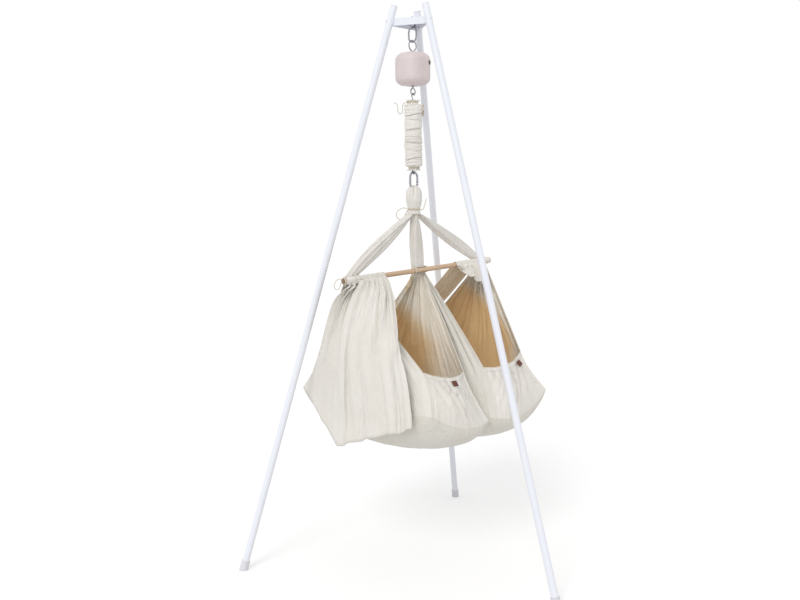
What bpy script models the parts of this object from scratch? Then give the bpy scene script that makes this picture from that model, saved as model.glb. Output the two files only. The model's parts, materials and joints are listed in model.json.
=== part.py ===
"""Double baby hammock: a steel tripod, a rocking motor, a sleeved spring and two cotton pouches on a rod.

Metres, +Z up. The rod runs along X, the babies lie along Y, and the stand is on the floor at z = 0.
All pieces are placed from the stand's own vertical axis, which an empty carries.
"""

import math

import bmesh
import bpy
import numpy as np
from mathutils import Matrix, Vector

# Stand
STAND_HEIGHT = 2.0
BRACKET_DROP = 0.070
BRACKET_LEG_R = 0.0855
LEG_SPREAD = 0.5615 / 1.930
LEG_TUBE_R = 0.0125
LEG_TUBE_WALL = 0.0015
LEG_ANGLES = {"left": 150.0, "front": 270.0, "back": 30.0}
CAP_THICKNESS = 0.004
CAP_PLUG_LENGTH = 0.014
FOOT_WALL = 0.0025
FOOT_HEIGHT = 0.036
FOOT_SOLE = 0.006
BRACKET_SHEET = 0.003
BRACKET_DEPTH = 0.025
LEG_BOLT_R = 0.003
LEG_BOLT_HEAD_R = 0.0052
WELD_NUT_ACROSS = 0.010

# Gaps: TOUCH between pieces that rest on each other, RUN between a pin and its hole
TOUCH = 0.0003
RUN = 0.0003

# Eye bolt, carabiners and wire eyes
EYE_RING_R = 0.012
EYE_WIRE_R = 0.003
EYE_STEM_R = 0.004
EYE_COLLAR_R = 0.009
EYE_COLLAR_H = 0.004
NUT_ACROSS = 0.013
NUT_HEIGHT = 0.0065
TOP_LINK_WIDTH = 0.044
TOP_LINK_HEIGHT = 0.059
TOP_LINK_WIRE_R = 0.003
LOWER_LINK_WIDTH = 0.044
LOWER_LINK_HEIGHT = 0.067
LOWER_LINK_WIRE_R = 0.004
GATE_END_GAP = 0.0005
GATE_PIN_R = 0.0009
MOTOR_EYE_WIRE_R = 0.0025
MOTOR_EYE_R = 0.018
MOTOR_EYE_HEIGHT = 0.0428
OUTPUT_EYE_R = 0.011
OUTPUT_EYE_HEIGHT = 0.030

# Motor
MOTOR_HALF_WIDTH = 0.0557
MOTOR_HALF_HEIGHT = 0.057
MOTOR_CORNER_POWER = 3.0
MOTOR_EDGE_R = 0.026
MOTOR_WALL = 0.003
HANGER_SHEET = 0.004
HANGER_HALF_HEIGHT = 0.048
HANGER_HALF_WIDTH = 0.019
HANGER_BACK_Y = 0.010
OUTPUT_ROD_R = 0.004
OUTPUT_ROD_SHOWS = 0.002
OUTPUT_STROKE = 0.025
GEAR_MODULE = 0.0015
PINION_TEETH = 14
PRESSURE_ANGLE = math.radians(20)
TOOTH_BACKLASH = 0.00036
GEAR_WIDTH = 0.008
PINION_SHAFT_R = 0.003
GEARBOX_R = 0.018
GEARBOX_DEPTH = 0.016
MOTOR_CAN_R = 0.0135
MOTOR_CAN_CLEAR = 0.0074
BUTTON_R = 0.008
BUTTON_TURN = math.radians(-61.6)
BUTTON_RISE = 0.021
SOCKET_R = 0.0055
SOCKET_DROP = 0.026

# Spring and sleeve
SPRING_COIL_R = 0.020
SPRING_WIRE_R = 0.002
SPRING_TURNS = 12
SPRING_HOOK_R = 0.0075
HOOK_SHOWS = 0.0248
SLEEVE_LENGTH = 0.247
SLEEVE_TO_LINK = 0.003
SLEEVE_TIE_IN = 0.0072
SLEEVE_OUTER_R = 0.0325
SLEEVE_WALL = 0.002
SLEEVE_RUCHES = 10

# Hammock: the rod and where the cloth is gathered on it
HAMMOCK_X = 0.021
HAMMOCK_Y = -0.017
ROD_DROP = 0.357
ROD_LENGTH = 0.750
ROD_R = 0.009
ROD_TILT = math.radians(2.8)
GATHER_HALF = 0.023
CENTRE_GATHER = 1.35
CLOTH = 0.003
TIE_CORD_R = 0.0015
ROD_TIE_IN = 0.0055
BOW_SPACING = 0.0105
SIDE_FULLNESS = 0.030
CENTRE_FULLNESS = 0.008
NECK_TIE_DROP = 0.137
NECK_BELOW_TIE = 0.017

# Pouches
POUCH_WIDTH = 0.310
POUCH_LENGTH = 0.680
POUCH_GAP = 0.008
SEAM_OUTER_DROP = 0.441
SEAM_INNER_DROP = 0.501
BASE_DEPTH = 0.150
HEM_Y = 0.262
HEM_DROP = 0.302
HEM_PULLS = {(-1, -1): 0.045, (-1, 1): 0.052, (1, 1): 0.018, (1, -1): 0.070}
PLEATS = 5
ALONG_STEPS = 14
ACROSS_STEPS = 8
PLEAT_DEPTH = 0.007
MATTRESS_THICKNESS = 0.030
TAG_SIZE = (0.025, 0.0015, 0.020)

# Heights down the chain, each from the piece that carries it
BRACKET_Z = STAND_HEIGHT - BRACKET_DROP
FOOT_CIRCLE_R = BRACKET_LEG_R + LEG_SPREAD * BRACKET_Z
WEB_UNDERSIDE_Z = BRACKET_Z + BRACKET_DEPTH - BRACKET_SHEET
EYE_RING_Z = WEB_UNDERSIDE_Z - TOUCH - EYE_COLLAR_H - EYE_RING_R
TOP_LINK_TOP_Z = EYE_RING_Z - EYE_RING_R + EYE_WIRE_R + TOUCH + 2 * TOP_LINK_WIRE_R
MOTOR_EYE_TOP_Z = TOP_LINK_TOP_Z - TOP_LINK_HEIGHT + 2 * TOP_LINK_WIRE_R + TOUCH + MOTOR_EYE_WIRE_R
MOTOR_CENTRE_Z = MOTOR_EYE_TOP_Z - MOTOR_EYE_HEIGHT - MOTOR_HALF_HEIGHT
BUTTON_Z = MOTOR_CENTRE_Z + BUTTON_RISE
SOCKET_Z = MOTOR_CENTRE_Z - SOCKET_DROP
OUTPUT_ROD_END_Z = MOTOR_CENTRE_Z - MOTOR_HALF_HEIGHT - OUTPUT_ROD_SHOWS
OUTPUT_EYE_LOW_Z = OUTPUT_ROD_END_Z - OUTPUT_EYE_HEIGHT
HOOK_TOP_Z = OUTPUT_EYE_LOW_Z + MOTOR_EYE_WIRE_R + TOUCH + SPRING_WIRE_R
SLEEVE_TOP_Z = HOOK_TOP_Z - HOOK_SHOWS
SLEEVE_BOTTOM_Z = SLEEVE_TOP_Z - SLEEVE_LENGTH
LOWER_LINK_TOP_Z = SLEEVE_BOTTOM_Z - SLEEVE_TO_LINK
HOOK_LOW_Z = LOWER_LINK_TOP_Z - 2 * LOWER_LINK_WIRE_R - TOUCH - SPRING_WIRE_R
LINK_BAR_Z = LOWER_LINK_TOP_Z - LOWER_LINK_HEIGHT + LOWER_LINK_WIRE_R
NECK_TIE_Z = LOWER_LINK_TOP_Z - NECK_TIE_DROP
NECK_BOTTOM_Z = NECK_TIE_Z - NECK_BELOW_TIE
ROD_Z = LOWER_LINK_TOP_Z - ROD_DROP
HEM_Z = ROD_Z - HEM_DROP
SEAM_Z_OUTER = ROD_Z - SEAM_OUTER_DROP
SEAM_Z_INNER = ROD_Z - SEAM_INNER_DROP

WHITE_STEEL = ((0.86, 0.87, 0.90), 0.35, 0.0)
BRIGHT_STEEL = ((0.42, 0.42, 0.44), 0.28, 1.0)
PINK_PLASTIC = ((0.74, 0.62, 0.60), 0.45, 0.0)
DARK_PLASTIC = ((0.10, 0.07, 0.05), 0.5, 0.0)
GREY_PLASTIC = ((0.55, 0.55, 0.57), 0.5, 0.0)
BRASS = ((0.62, 0.47, 0.22), 0.35, 1.0)
COTTON = ((0.80, 0.77, 0.70), 0.9, 0.0)
MATTRESS_CLOTH = ((0.72, 0.66, 0.54), 0.9, 0.0)
WOOD = ((0.52, 0.37, 0.24), 0.55, 0.0)
LEATHER = ((0.20, 0.07, 0.035), 0.6, 0.0)

SMOOTH_ANGLE = math.radians(38)


def clear_scene():
    for old in list(bpy.data.objects):
        bpy.data.objects.remove(old, do_unlink=True)


def finish(name, look):
    """A Principled material of the piece's own."""
    colour, roughness, metallic = look
    made = bpy.data.materials.new(name + "_finish")
    made.use_nodes = True
    shader = made.node_tree.nodes["Principled BSDF"]
    shader.inputs["Base Color"].default_value = (*colour, 1.0)
    shader.inputs["Roughness"].default_value = roughness
    shader.inputs["Metallic"].default_value = metallic
    return made


def piece(name, shape, look, origin=(0, 0, 0), matrix=None):
    """Puts a bmesh in the scene as a node whose origin is the given point of the stand's frame."""
    bmesh.ops.recalc_face_normals(shape, faces=shape.faces)
    mesh = bpy.data.meshes.new(name)
    shape.to_mesh(mesh)
    shape.free()
    if matrix is None:
        mesh.transform(Matrix.Translation(-Vector(origin)))
        matrix = Matrix.Translation(Vector(origin))
    mesh.shade_smooth()
    mesh.set_sharp_from_angle(angle=SMOOTH_ANGLE)
    made = bpy.data.objects.new(name, mesh)
    made.data.materials.append(finish(name, look))
    bpy.context.scene.collection.objects.link(made)
    made.parent = STAND_AXIS
    made.matrix_local = matrix
    return made


def tool(name, shape, matrix=None):
    """A shape that only serves a Boolean."""
    made = piece(name, shape, GREY_PLASTIC, matrix=matrix)
    made.hide_render = True
    made.display_type = "WIRE"
    return made


def combine(target, other, operation):
    step = target.modifiers.new(operation.lower() + "_" + other.name, "BOOLEAN")
    step.operation = operation
    step.object = other
    step.solver = "EXACT"


def loft(rings, closed=False):
    """Skins a list of rings of points; a ring of one point closes that end to a tip."""
    shape = bmesh.new()
    rows = [[shape.verts.new(point) for point in ring] for ring in rings]
    pairs = list(zip(rows, rows[1:]))
    if closed:
        pairs.append((rows[-1], rows[0]))
    for low, high in pairs:
        for index in range(max(len(low), len(high))):
            after = index + 1
            corners = [
                low[index % len(low)],
                low[after % len(low)],
                high[after % len(high)],
                high[index % len(high)],
            ]
            unique = list(dict.fromkeys(corners))
            if len(unique) > 2:
                shape.faces.new(unique)
    if not closed:
        for row in (rows[0], rows[-1]):
            if len(row) > 2:
                shape.faces.new(row)
    return shape


def turned(profile, segments=20, hollow=False):
    """Turns (radius, z) points about Z. A hollow profile is a closed outline clear of the axis."""
    rings = []
    for radius, height in profile:
        if radius <= 0:
            rings.append([Vector((0, 0, height))])
            continue
        turn = [2 * math.pi * step / segments for step in range(segments)]
        rings.append([Vector((radius * math.cos(a), radius * math.sin(a), height)) for a in turn])
    return loft(rings, closed=hollow)


def rod_shape(radius, low, high, segments=20):
    return turned([(radius, low), (radius, high)], segments)


def swept(path, radius, sides=12, closed=False):
    """A round wire along a path of points; its frame is carried from point to point without twist."""
    points = [Vector(point) for point in path]
    count = len(points)
    tangents = []
    for index, point in enumerate(points):
        before = points[index - 1] if closed or index else point
        after = points[(index + 1) % count] if closed or index < count - 1 else point
        tangents.append((after - before).normalized())
    side = tangents[0].orthogonal().normalized()
    rings = []
    for index, (point, tangent) in enumerate(zip(points, tangents)):
        if index:
            side = tangents[index - 1].rotation_difference(tangent) @ side
        across = tangent.cross(side)
        ring = []
        for step in range(sides):
            turn = 2 * math.pi * step / sides
            ring.append(point + radius * (math.cos(turn) * side + math.sin(turn) * across))
        rings.append(ring)
    return loft(rings, closed=closed)


def extruded(outline, axis, low, high):
    """Extrudes a closed outline of 2-D points along axis 0, 1 or 2, from low to high."""
    rings = []
    for level in (low, high):
        ring = []
        for first, second in outline:
            point = [first, second]
            point.insert(axis, level)
            ring.append(Vector(point))
        rings.append(ring)
    return loft(rings)


def box(low, high):
    outline = [(low[0], low[1]), (high[0], low[1]), (high[0], high[1]), (low[0], high[1])]
    return extruded(outline, 2, low[2], high[2])


def polygon(sides, circumradius, first_angle=0.0):
    turn = [first_angle + 2 * math.pi * step / sides for step in range(sides)]
    return [(circumradius * math.cos(a), circumradius * math.sin(a)) for a in turn]


def hexagon(across):
    return polygon(6, across / math.sqrt(3))


def lerp(first, second, share):
    return first + (second - first) * share


# Stand


def leg_radius_at(height):
    """Distance of a leg's axis from the stand's axis."""
    return lerp(FOOT_CIRCLE_R, BRACKET_LEG_R, height / BRACKET_Z)


def leg_frame(angle, height=0.0):
    """Frame on a leg's axis: Z up the leg, X square to it and outward."""
    lean = math.atan2(FOOT_CIRCLE_R - BRACKET_LEG_R, BRACKET_Z)
    radius = leg_radius_at(height)
    place = Vector((radius * math.cos(angle), radius * math.sin(angle), height))
    return Matrix.Translation(place) @ Matrix.Rotation(angle, 4, "Z") @ Matrix.Rotation(-lean, 4, "Y")


def make_stand():
    lean = math.atan2(FOOT_CIRCLE_R - BRACKET_LEG_R, BRACKET_Z)
    leg_length = STAND_HEIGHT / math.cos(lean)
    sole = (FOOT_SOLE + LEG_TUBE_R * math.sin(lean)) / math.cos(lean)
    bolt_z = BRACKET_Z + BRACKET_DEPTH / 2
    sleeve_r = LEG_TUBE_R + TOUCH + BRACKET_SHEET

    tray = [Vector((x, y)) for x, y in polygon(3, leg_radius_at(bolt_z), math.radians(30))]
    bracket = piece(
        "top_bracket",
        extruded(tray, 2, BRACKET_Z, BRACKET_Z + BRACKET_DEPTH),
        WHITE_STEEL,
    )
    inside = [point * (1 - 2 * BRACKET_SHEET / leg_radius_at(bolt_z)) for point in tray]
    hollow = tool(
        "bracket_hollow",
        extruded(inside, 2, BRACKET_Z - 0.01, BRACKET_Z + BRACKET_DEPTH - BRACKET_SHEET),
    )
    combine(bracket, hollow, "DIFFERENCE")
    inner_half = polygon(3, 2 * leg_radius_at(bolt_z), math.radians(90))
    nut_end = sleeve_r + 0.005
    cuts = []
    for side, degrees in LEG_ANGLES.items():
        angle = math.radians(degrees)
        at_bolt = leg_frame(angle, bolt_z)
        level = tool(
            "saddle_clip_" + side,
            extruded(inner_half, 2, BRACKET_Z + TOUCH, BRACKET_Z + BRACKET_DEPTH - TOUCH),
        )
        saddle = tool("saddle_" + side, rod_shape(sleeve_r, -0.05, 0.05, 20), matrix=at_bolt)
        combine(saddle, level, "INTERSECT")
        combine(bracket, saddle, "UNION")
        nut = tool(
            "weld_nut_" + side,
            extruded(hexagon(WELD_NUT_ACROSS), 0, -nut_end, -LEG_TUBE_R - 0.001),
            matrix=at_bolt,
        )
        combine(bracket, nut, "UNION")
        leg_path = tool(
            "leg_path_" + side,
            rod_shape(LEG_TUBE_R + TOUCH, -0.08, 0.08, 20),
            matrix=at_bolt,
        )
        bolt_path = tool(
            "bolt_path_" + side,
            extruded(polygon(12, LEG_BOLT_R + RUN, math.radians(15)), 0, -0.03, 0.03),
            matrix=at_bolt,
        )
        cuts += [leg_path, bolt_path]
    for cut in cuts:
        combine(bracket, cut, "DIFFERENCE")
    for side, degrees in LEG_ANGLES.items():
        angle = math.radians(degrees)
        frame = leg_frame(angle)
        at_bolt = leg_frame(angle, bolt_z)
        bolt_path = bpy.data.objects["bolt_path_" + side]
        tube = piece(
            "leg_" + side,
            turned(
                [
                    (LEG_TUBE_R, sole),
                    (LEG_TUBE_R, leg_length - CAP_THICKNESS - TOUCH),
                    (LEG_TUBE_R - LEG_TUBE_WALL, leg_length - CAP_THICKNESS - TOUCH),
                    (LEG_TUBE_R - LEG_TUBE_WALL, sole),
                ],
                20,
                hollow=True,
            ),
            WHITE_STEEL,
            matrix=frame,
        )
        combine(tube, bolt_path, "DIFFERENCE")
        plug_r = LEG_TUBE_R - LEG_TUBE_WALL - TOUCH
        shoulder = leg_length - CAP_THICKNESS
        piece(
            "leg_cap_" + side,
            turned(
                [
                    (0, shoulder - CAP_PLUG_LENGTH),
                    (plug_r, shoulder - CAP_PLUG_LENGTH),
                    (plug_r, shoulder),
                    (LEG_TUBE_R, shoulder),
                    (LEG_TUBE_R, leg_length - 0.0015),
                    (LEG_TUBE_R - 0.0015, leg_length),
                    (0, leg_length),
                ],
                16,
            ),
            WHITE_STEEL,
            matrix=frame,
        )
        make_foot(side, frame, sole)
        make_leg_bolt(side, at_bolt, nut_end)
    make_eye_bolt(bracket)


def make_foot(side, frame, sole):
    """Cup on the tube's end, cut level where it stands."""
    outer = LEG_TUBE_R + TOUCH + FOOT_WALL
    shape = turned(
        [
            (0, -0.03),
            (outer, -0.03),
            (outer, FOOT_HEIGHT - 0.001),
            (outer - 0.001, FOOT_HEIGHT),
            (LEG_TUBE_R + TOUCH, FOOT_HEIGHT),
            (LEG_TUBE_R + TOUCH, sole - TOUCH),
            (0, sole - TOUCH),
        ],
        16,
    )
    shape.transform(frame)
    floor = bmesh.ops.bisect_plane(
        shape,
        geom=[*shape.verts, *shape.edges, *shape.faces],
        plane_co=(0, 0, 0),
        plane_no=(0, 0, 1),
        clear_inner=True,
    )
    edges = [item for item in floor["geom_cut"] if isinstance(item, bmesh.types.BMEdge)]
    bmesh.ops.contextual_create(shape, geom=edges)
    piece("foot_" + side, shape, WHITE_STEEL, origin=frame.translation)


def make_leg_bolt(side, at_bolt, nut_end):
    """Button-head bolt from outside the tube into the nut welded on the bracket."""
    head = LEG_TUBE_R + TOUCH
    profile = [
        (0, -nut_end - 0.002),
        (LEG_BOLT_R, -nut_end - 0.002),
        (LEG_BOLT_R, head),
        (LEG_BOLT_HEAD_R, head),
        (LEG_BOLT_HEAD_R, head + 0.001),
        (LEG_BOLT_HEAD_R * 0.72, head + 0.0028),
        (0.0018, head + 0.0031),
        (0.0018, head + 0.0012),
        (0, head + 0.0012),
    ]
    shape = turned(profile, 10)
    shape.transform(Matrix.Rotation(math.radians(90), 4, "Y"))
    piece("leg_bolt_" + side, shape, WHITE_STEEL, matrix=at_bolt)


def circle_path(radius, centre, plane, count=32, start=0.0, sweep=2 * math.pi, closed=True):
    """Points round a circle in the XZ or YZ plane, from the given angle above horizontal."""
    steps = count if closed else count - 1
    path = []
    for index in range(count):
        turn = start + sweep * index / steps
        across = radius * math.cos(turn)
        rise = radius * math.sin(turn)
        flat = (across, 0) if plane == "XZ" else (0, across)
        path.append(Vector((centre[0] + flat[0], centre[1] + flat[1], centre[2] + rise)))
    return path


def make_eye_bolt(bracket):
    stem_top = BRACKET_Z + BRACKET_DEPTH + NUT_HEIGHT + 0.004
    ring = swept(circle_path(EYE_RING_R, (0, 0, EYE_RING_Z), "XZ", 20), EYE_WIRE_R, 8, closed=True)
    eye = piece("eye_bolt", ring, BRIGHT_STEEL)
    collar_top = WEB_UNDERSIDE_Z - TOUCH
    stem = tool(
        "eye_stem",
        turned(
            [
                (0, collar_top - EYE_COLLAR_H - 0.001),
                (EYE_COLLAR_R - 0.002, collar_top - EYE_COLLAR_H - 0.001),
                (EYE_COLLAR_R, collar_top - EYE_COLLAR_H + 0.001),
                (EYE_COLLAR_R, collar_top),
                (EYE_STEM_R, collar_top),
                (EYE_STEM_R, stem_top - 0.001),
                (EYE_STEM_R - 0.001, stem_top),
                (0, stem_top),
            ],
            12,
        ),
    )
    combine(eye, stem, "UNION")
    hole = tool("eye_hole", rod_shape(EYE_STEM_R + RUN, BRACKET_Z, BRACKET_Z + 0.04))
    combine(bracket, hole, "DIFFERENCE")
    make_nut("eye_bolt_nut", BRACKET_Z + BRACKET_DEPTH + TOUCH)


def make_nut(name, low):
    """Hexagon nut on a stem of the eye bolts' size, its lower face at the given height."""
    nut = piece(name, extruded(hexagon(NUT_ACROSS), 2, low, low + NUT_HEIGHT), BRIGHT_STEEL)
    bore = tool(name + "_bore", rod_shape(EYE_STEM_R + RUN, low - 0.01, low + NUT_HEIGHT + 0.01))
    combine(nut, bore, "DIFFERENCE")


# Carabiners


def link_sizes(width, height, wire_r):
    """Centre-line half width, and heights of the two arcs' centres above the middle."""
    half_width = width / 2 - wire_r
    straight = (height - 2 * wire_r) / 2 - half_width
    return half_width, straight


def make_link(name, plane, top_z, width, height, wire_r):
    """Oval carabiner in one plane, with its sprung gate on the positive side."""
    half_width, straight = link_sizes(width, height, wire_r)
    middle = top_z - height / 2
    gate_low = middle - straight
    gate_high = middle + straight
    path = [(half_width, gate_high + GATE_END_GAP)]
    for index in range(11):
        turn = math.pi * index / 10
        path.append((half_width * math.cos(turn), gate_high + half_width * math.sin(turn)))
    for index in range(11):
        turn = math.pi + math.pi * index / 10
        path.append((half_width * math.cos(turn), gate_low + half_width * math.sin(turn)))
    path[1] = (half_width, gate_high + 2 * GATE_END_GAP)
    turn_plane = Matrix.Rotation(math.radians(90), 4, "Z") if plane == "YZ" else Matrix.Identity(4)
    body_shape = swept([(x, 0, z) for x, z in path], wire_r, 8)
    body_shape.transform(turn_plane)
    link = piece(name, body_shape, BRIGHT_STEEL)

    pin_z = gate_low + wire_r + 0.001
    tang_half = 0.0009
    tang_shape = box(
        (half_width - 0.0016, -tang_half, gate_low - 0.003),
        (half_width + 0.0016, tang_half, pin_z + 0.0016),
    )
    tang_shape.transform(turn_plane)
    tang = tool(name + "_tang", tang_shape)
    pin_shape = extruded(polygon(12, GATE_PIN_R), 1, -wire_r * 0.9, wire_r * 0.9)
    pin_shape.transform(Matrix.Translation((half_width, 0, pin_z)))
    pin_shape.transform(turn_plane)
    pin = tool(name + "_pin", pin_shape)
    combine(link, tang, "UNION")
    combine(link, pin, "UNION")

    foot = pin_z - 0.0024
    gate_shape = turned(
        [
            (0, foot),
            (wire_r - 0.0008, foot),
            (wire_r, foot + 0.0008),
            (wire_r, gate_high - 0.0006),
            (wire_r - 0.0006, gate_high),
            (0, gate_high),
        ],
        12,
    )
    gate_shape.transform(Matrix.Translation((half_width, 0, 0)))
    gate_shape.transform(turn_plane)
    pivot = turn_plane @ Vector((half_width, 0, pin_z))
    gate = piece(name + "_gate", gate_shape, BRIGHT_STEEL, origin=pivot)
    slot_shape = box(
        (half_width - 0.01, -tang_half - RUN, foot - 0.01),
        (half_width + 0.01, tang_half + RUN, pin_z + 0.0035),
    )
    slot_shape.transform(turn_plane)
    combine(gate, tool(name + "_gate_slot", slot_shape), "DIFFERENCE")
    bore_shape = extruded(polygon(12, GATE_PIN_R + RUN), 1, -0.01, 0.01)
    bore_shape.transform(Matrix.Translation((half_width, 0, pin_z)))
    bore_shape.transform(turn_plane)
    combine(gate, tool(name + "_gate_bore", bore_shape), "DIFFERENCE")


def make_links():
    make_link("top_link", "YZ", TOP_LINK_TOP_Z, TOP_LINK_WIDTH, TOP_LINK_HEIGHT, TOP_LINK_WIRE_R)
    make_link(
        "lower_link",
        "XZ",
        LOWER_LINK_TOP_Z,
        LOWER_LINK_WIDTH,
        LOWER_LINK_HEIGHT,
        LOWER_LINK_WIRE_R,
    )


# Motor


def wire_eye(name, ring_r, far_z, neck_z, stem_end):
    """Pear-shaped wire eye in the XZ plane: round at far_z, drawn in at neck_z to a stem."""
    up = 1 if far_z > neck_z else -1
    centre = far_z - up * ring_r
    reach = abs(centre - neck_z)
    opening = math.asin(ring_r / reach)
    path = []
    for index in range(15):
        turn = -opening + (math.pi + 2 * opening) * index / 14
        path.append((ring_r * math.cos(turn), 0, centre + up * ring_r * math.sin(turn)))
    path.append((0, 0, neck_z + up * 0.001))
    eye = piece(name, swept(path, MOTOR_EYE_WIRE_R, 8, closed=True), BRIGHT_STEEL)
    low, high = sorted((neck_z + up * 0.004, stem_end))
    stem = tool(name + "_stem", rod_shape(EYE_STEM_R, low, high, 12))
    combine(eye, stem, "UNION")


def motor_outline(half_width, segments=28):
    """Plan of the motor: a square with fully rounded corners (a superellipse)."""
    outline = []
    for index in range(segments):
        turn = 2 * math.pi * (index + 0.5) / segments
        outline.append(motor_plan_point(half_width, turn))
    return outline


def motor_plan_point(half_width, turn):
    power = 2 / MOTOR_CORNER_POWER
    x = math.copysign(abs(math.cos(turn)) ** power, math.cos(turn)) * half_width
    y = math.copysign(abs(math.sin(turn)) ** power, math.sin(turn)) * half_width
    return x, y


def motor_body(inset):
    """The housing's outer form, or its hollow when inset by the wall."""
    edge = MOTOR_EDGE_R - inset
    half_height = MOTOR_HALF_HEIGHT - inset
    rings = []
    for sign in (-1, 1):
        steps = range(5) if sign < 0 else range(4, -1, -1)
        for step in steps:
            turn = math.pi / 2 * (1 - step / 4)
            z = MOTOR_CENTRE_Z + sign * (half_height - edge * (1 - math.sin(turn)))
            width = MOTOR_HALF_WIDTH - inset - edge * (1 - math.cos(turn))
            rings.append([Vector((x, y, z)) for x, y in motor_outline(width)])
    return loft(rings)


def make_motor():
    top = MOTOR_CENTRE_Z + MOTOR_HALF_HEIGHT
    bottom = MOTOR_CENTRE_Z - MOTOR_HALF_HEIGHT
    hollow = tool("housing_hollow", motor_body(MOTOR_WALL))
    stem_hole = tool("stem_hole", rod_shape(EYE_STEM_R + 0.001, top - 0.01, top + 0.01))
    rod_hole = tool("rod_hole", rod_shape(EYE_STEM_R + 0.0015, bottom - 0.01, bottom + 0.01))
    reach = 0.1
    for side, sign in (("front", 1), ("rear", -1)):
        shell = piece("motor_shell_" + side, motor_body(0), PINK_PLASTIC)
        other_half = tool(
            "seam_" + side,
            box(
                (-TOUCH / 2 if sign > 0 else -reach, -reach, bottom - reach),
                (reach if sign > 0 else TOUCH / 2, reach, top + reach),
            ),
        )
        for cutter in (hollow, other_half, stem_hole, rod_hole):
            combine(shell, cutter, "DIFFERENCE")
        if side == "rear":
            make_button(shell)
            make_socket(shell)
    make_hanger()
    make_drive()
    wire_eye(
        "motor_eye",
        MOTOR_EYE_R,
        MOTOR_EYE_TOP_Z,
        top + 0.002,
        MOTOR_CENTRE_Z + HANGER_HALF_HEIGHT - HANGER_SHEET - NUT_HEIGHT - 0.001,
    )
    make_nut("motor_eye_nut", MOTOR_CENTRE_Z + HANGER_HALF_HEIGHT - HANGER_SHEET - NUT_HEIGHT - TOUCH)


def button_frame():
    """Frame on the housing's surface: X straight out of it."""
    x, y = motor_plan_point(MOTOR_HALF_WIDTH, BUTTON_TURN)
    power = MOTOR_CORNER_POWER - 1
    outward = math.atan2(math.copysign(abs(y) ** power, y), abs(x) ** power)
    return Matrix.Translation((x, y, BUTTON_Z)) @ Matrix.Rotation(outward, 4, "Z")


def make_button(shell):
    frame = button_frame()
    turn_to_x = Matrix.Rotation(math.radians(90), 4, "Y")
    hole_shape = rod_shape(BUTTON_R + RUN, -0.012, 0.01)
    hole_shape.transform(turn_to_x)
    combine(shell, tool("button_hole", hole_shape, matrix=frame), "DIFFERENCE")
    flange_front = -MOTOR_WALL - 0.0032
    shape = turned(
        [
            (0, flange_front - 0.002),
            (BUTTON_R + 0.0015, flange_front - 0.002),
            (BUTTON_R + 0.0015, flange_front),
            (BUTTON_R, flange_front),
            (BUTTON_R, 0.0008),
            (BUTTON_R - 0.001, 0.0014),
            (BUTTON_R * 0.6, 0.0011),
            (0, 0.0010),
        ],
        16,
    )
    shape.transform(turn_to_x)
    piece("power_button", shape, DARK_PLASTIC, matrix=frame)


def make_socket(shell):
    """Power inlet low in the rear face."""
    frame = Matrix.Translation((MOTOR_HALF_WIDTH, 0, SOCKET_Z)) @ Matrix.Rotation(math.radians(90), 4, "Y")
    hole = tool("socket_hole", rod_shape(SOCKET_R + TOUCH, -0.008, 0.01), matrix=frame)
    combine(shell, hole, "DIFFERENCE")
    piece(
        "power_socket",
        turned(
            [
                (0, -0.013),
                (SOCKET_R + 0.002, -0.013),
                (SOCKET_R + 0.002, -MOTOR_WALL - 0.0012),
                (SOCKET_R, -MOTOR_WALL - 0.0012),
                (SOCKET_R, -0.0004),
                (0.0030, -0.0004),
                (0.0030, -0.009),
                (0.0008, -0.009),
                (0.0008, -0.002),
                (0, -0.002),
            ],
            14,
        ),
        DARK_PLASTIC,
        matrix=frame,
    )


def rack_pitch_x():
    return OUTPUT_ROD_R + 0.0005


def pinion_x():
    return rack_pitch_x() + GEAR_MODULE * PINION_TEETH / 2


def make_hanger():
    """C-shaped steel frame that carries the load past the plastic: eye above, guide bush below."""
    back = HANGER_BACK_Y
    sheet = HANGER_SHEET
    half = HANGER_HALF_HEIGHT
    outline = [
        (-0.012, half - sheet),
        (back, half - sheet),
        (back, -half + sheet),
        (-0.012, -half + sheet),
        (-0.012, -half),
        (back + sheet, -half),
        (back + sheet, half),
        (-0.012, half),
    ]
    lifted = [(y, z + MOTOR_CENTRE_Z) for y, z in outline]
    hanger = piece(
        "motor_hanger",
        extruded(lifted, 0, -HANGER_HALF_WIDTH, HANGER_HALF_WIDTH + 0.010),
        BRIGHT_STEEL,
    )
    high = MOTOR_CENTRE_Z + half
    low = MOTOR_CENTRE_Z - half
    bush_r = OUTPUT_ROD_R + 0.003
    cutters = (
        tool("hanger_eye_hole", rod_shape(EYE_STEM_R + RUN, high - 0.01, high + 0.01)),
        tool("hanger_bush_hole", rod_shape(bush_r + TOUCH, low - 0.01, low + 0.01)),
        tool(
            "hanger_shaft_hole",
            rod_shape(PINION_SHAFT_R + 0.002, -0.02, 0.02),
            matrix=Matrix.Translation((pinion_x(), back, MOTOR_CENTRE_Z))
            @ Matrix.Rotation(math.radians(90), 4, "X"),
        ),
    )
    for cutter in cutters:
        combine(hanger, cutter, "DIFFERENCE")
    flange = low + sheet + TOUCH
    piece(
        "guide_bush",
        turned(
            [
                (bush_r, low - 0.001),
                (bush_r, flange),
                (bush_r + 0.003, flange),
                (bush_r + 0.003, flange + 0.0015),
                (OUTPUT_ROD_R + RUN, flange + 0.0015),
                (OUTPUT_ROD_R + RUN, low - 0.001),
            ],
            16,
            hollow=True,
        ),
        BRASS,
    )


def involute(angle):
    return math.tan(angle) - angle


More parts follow.
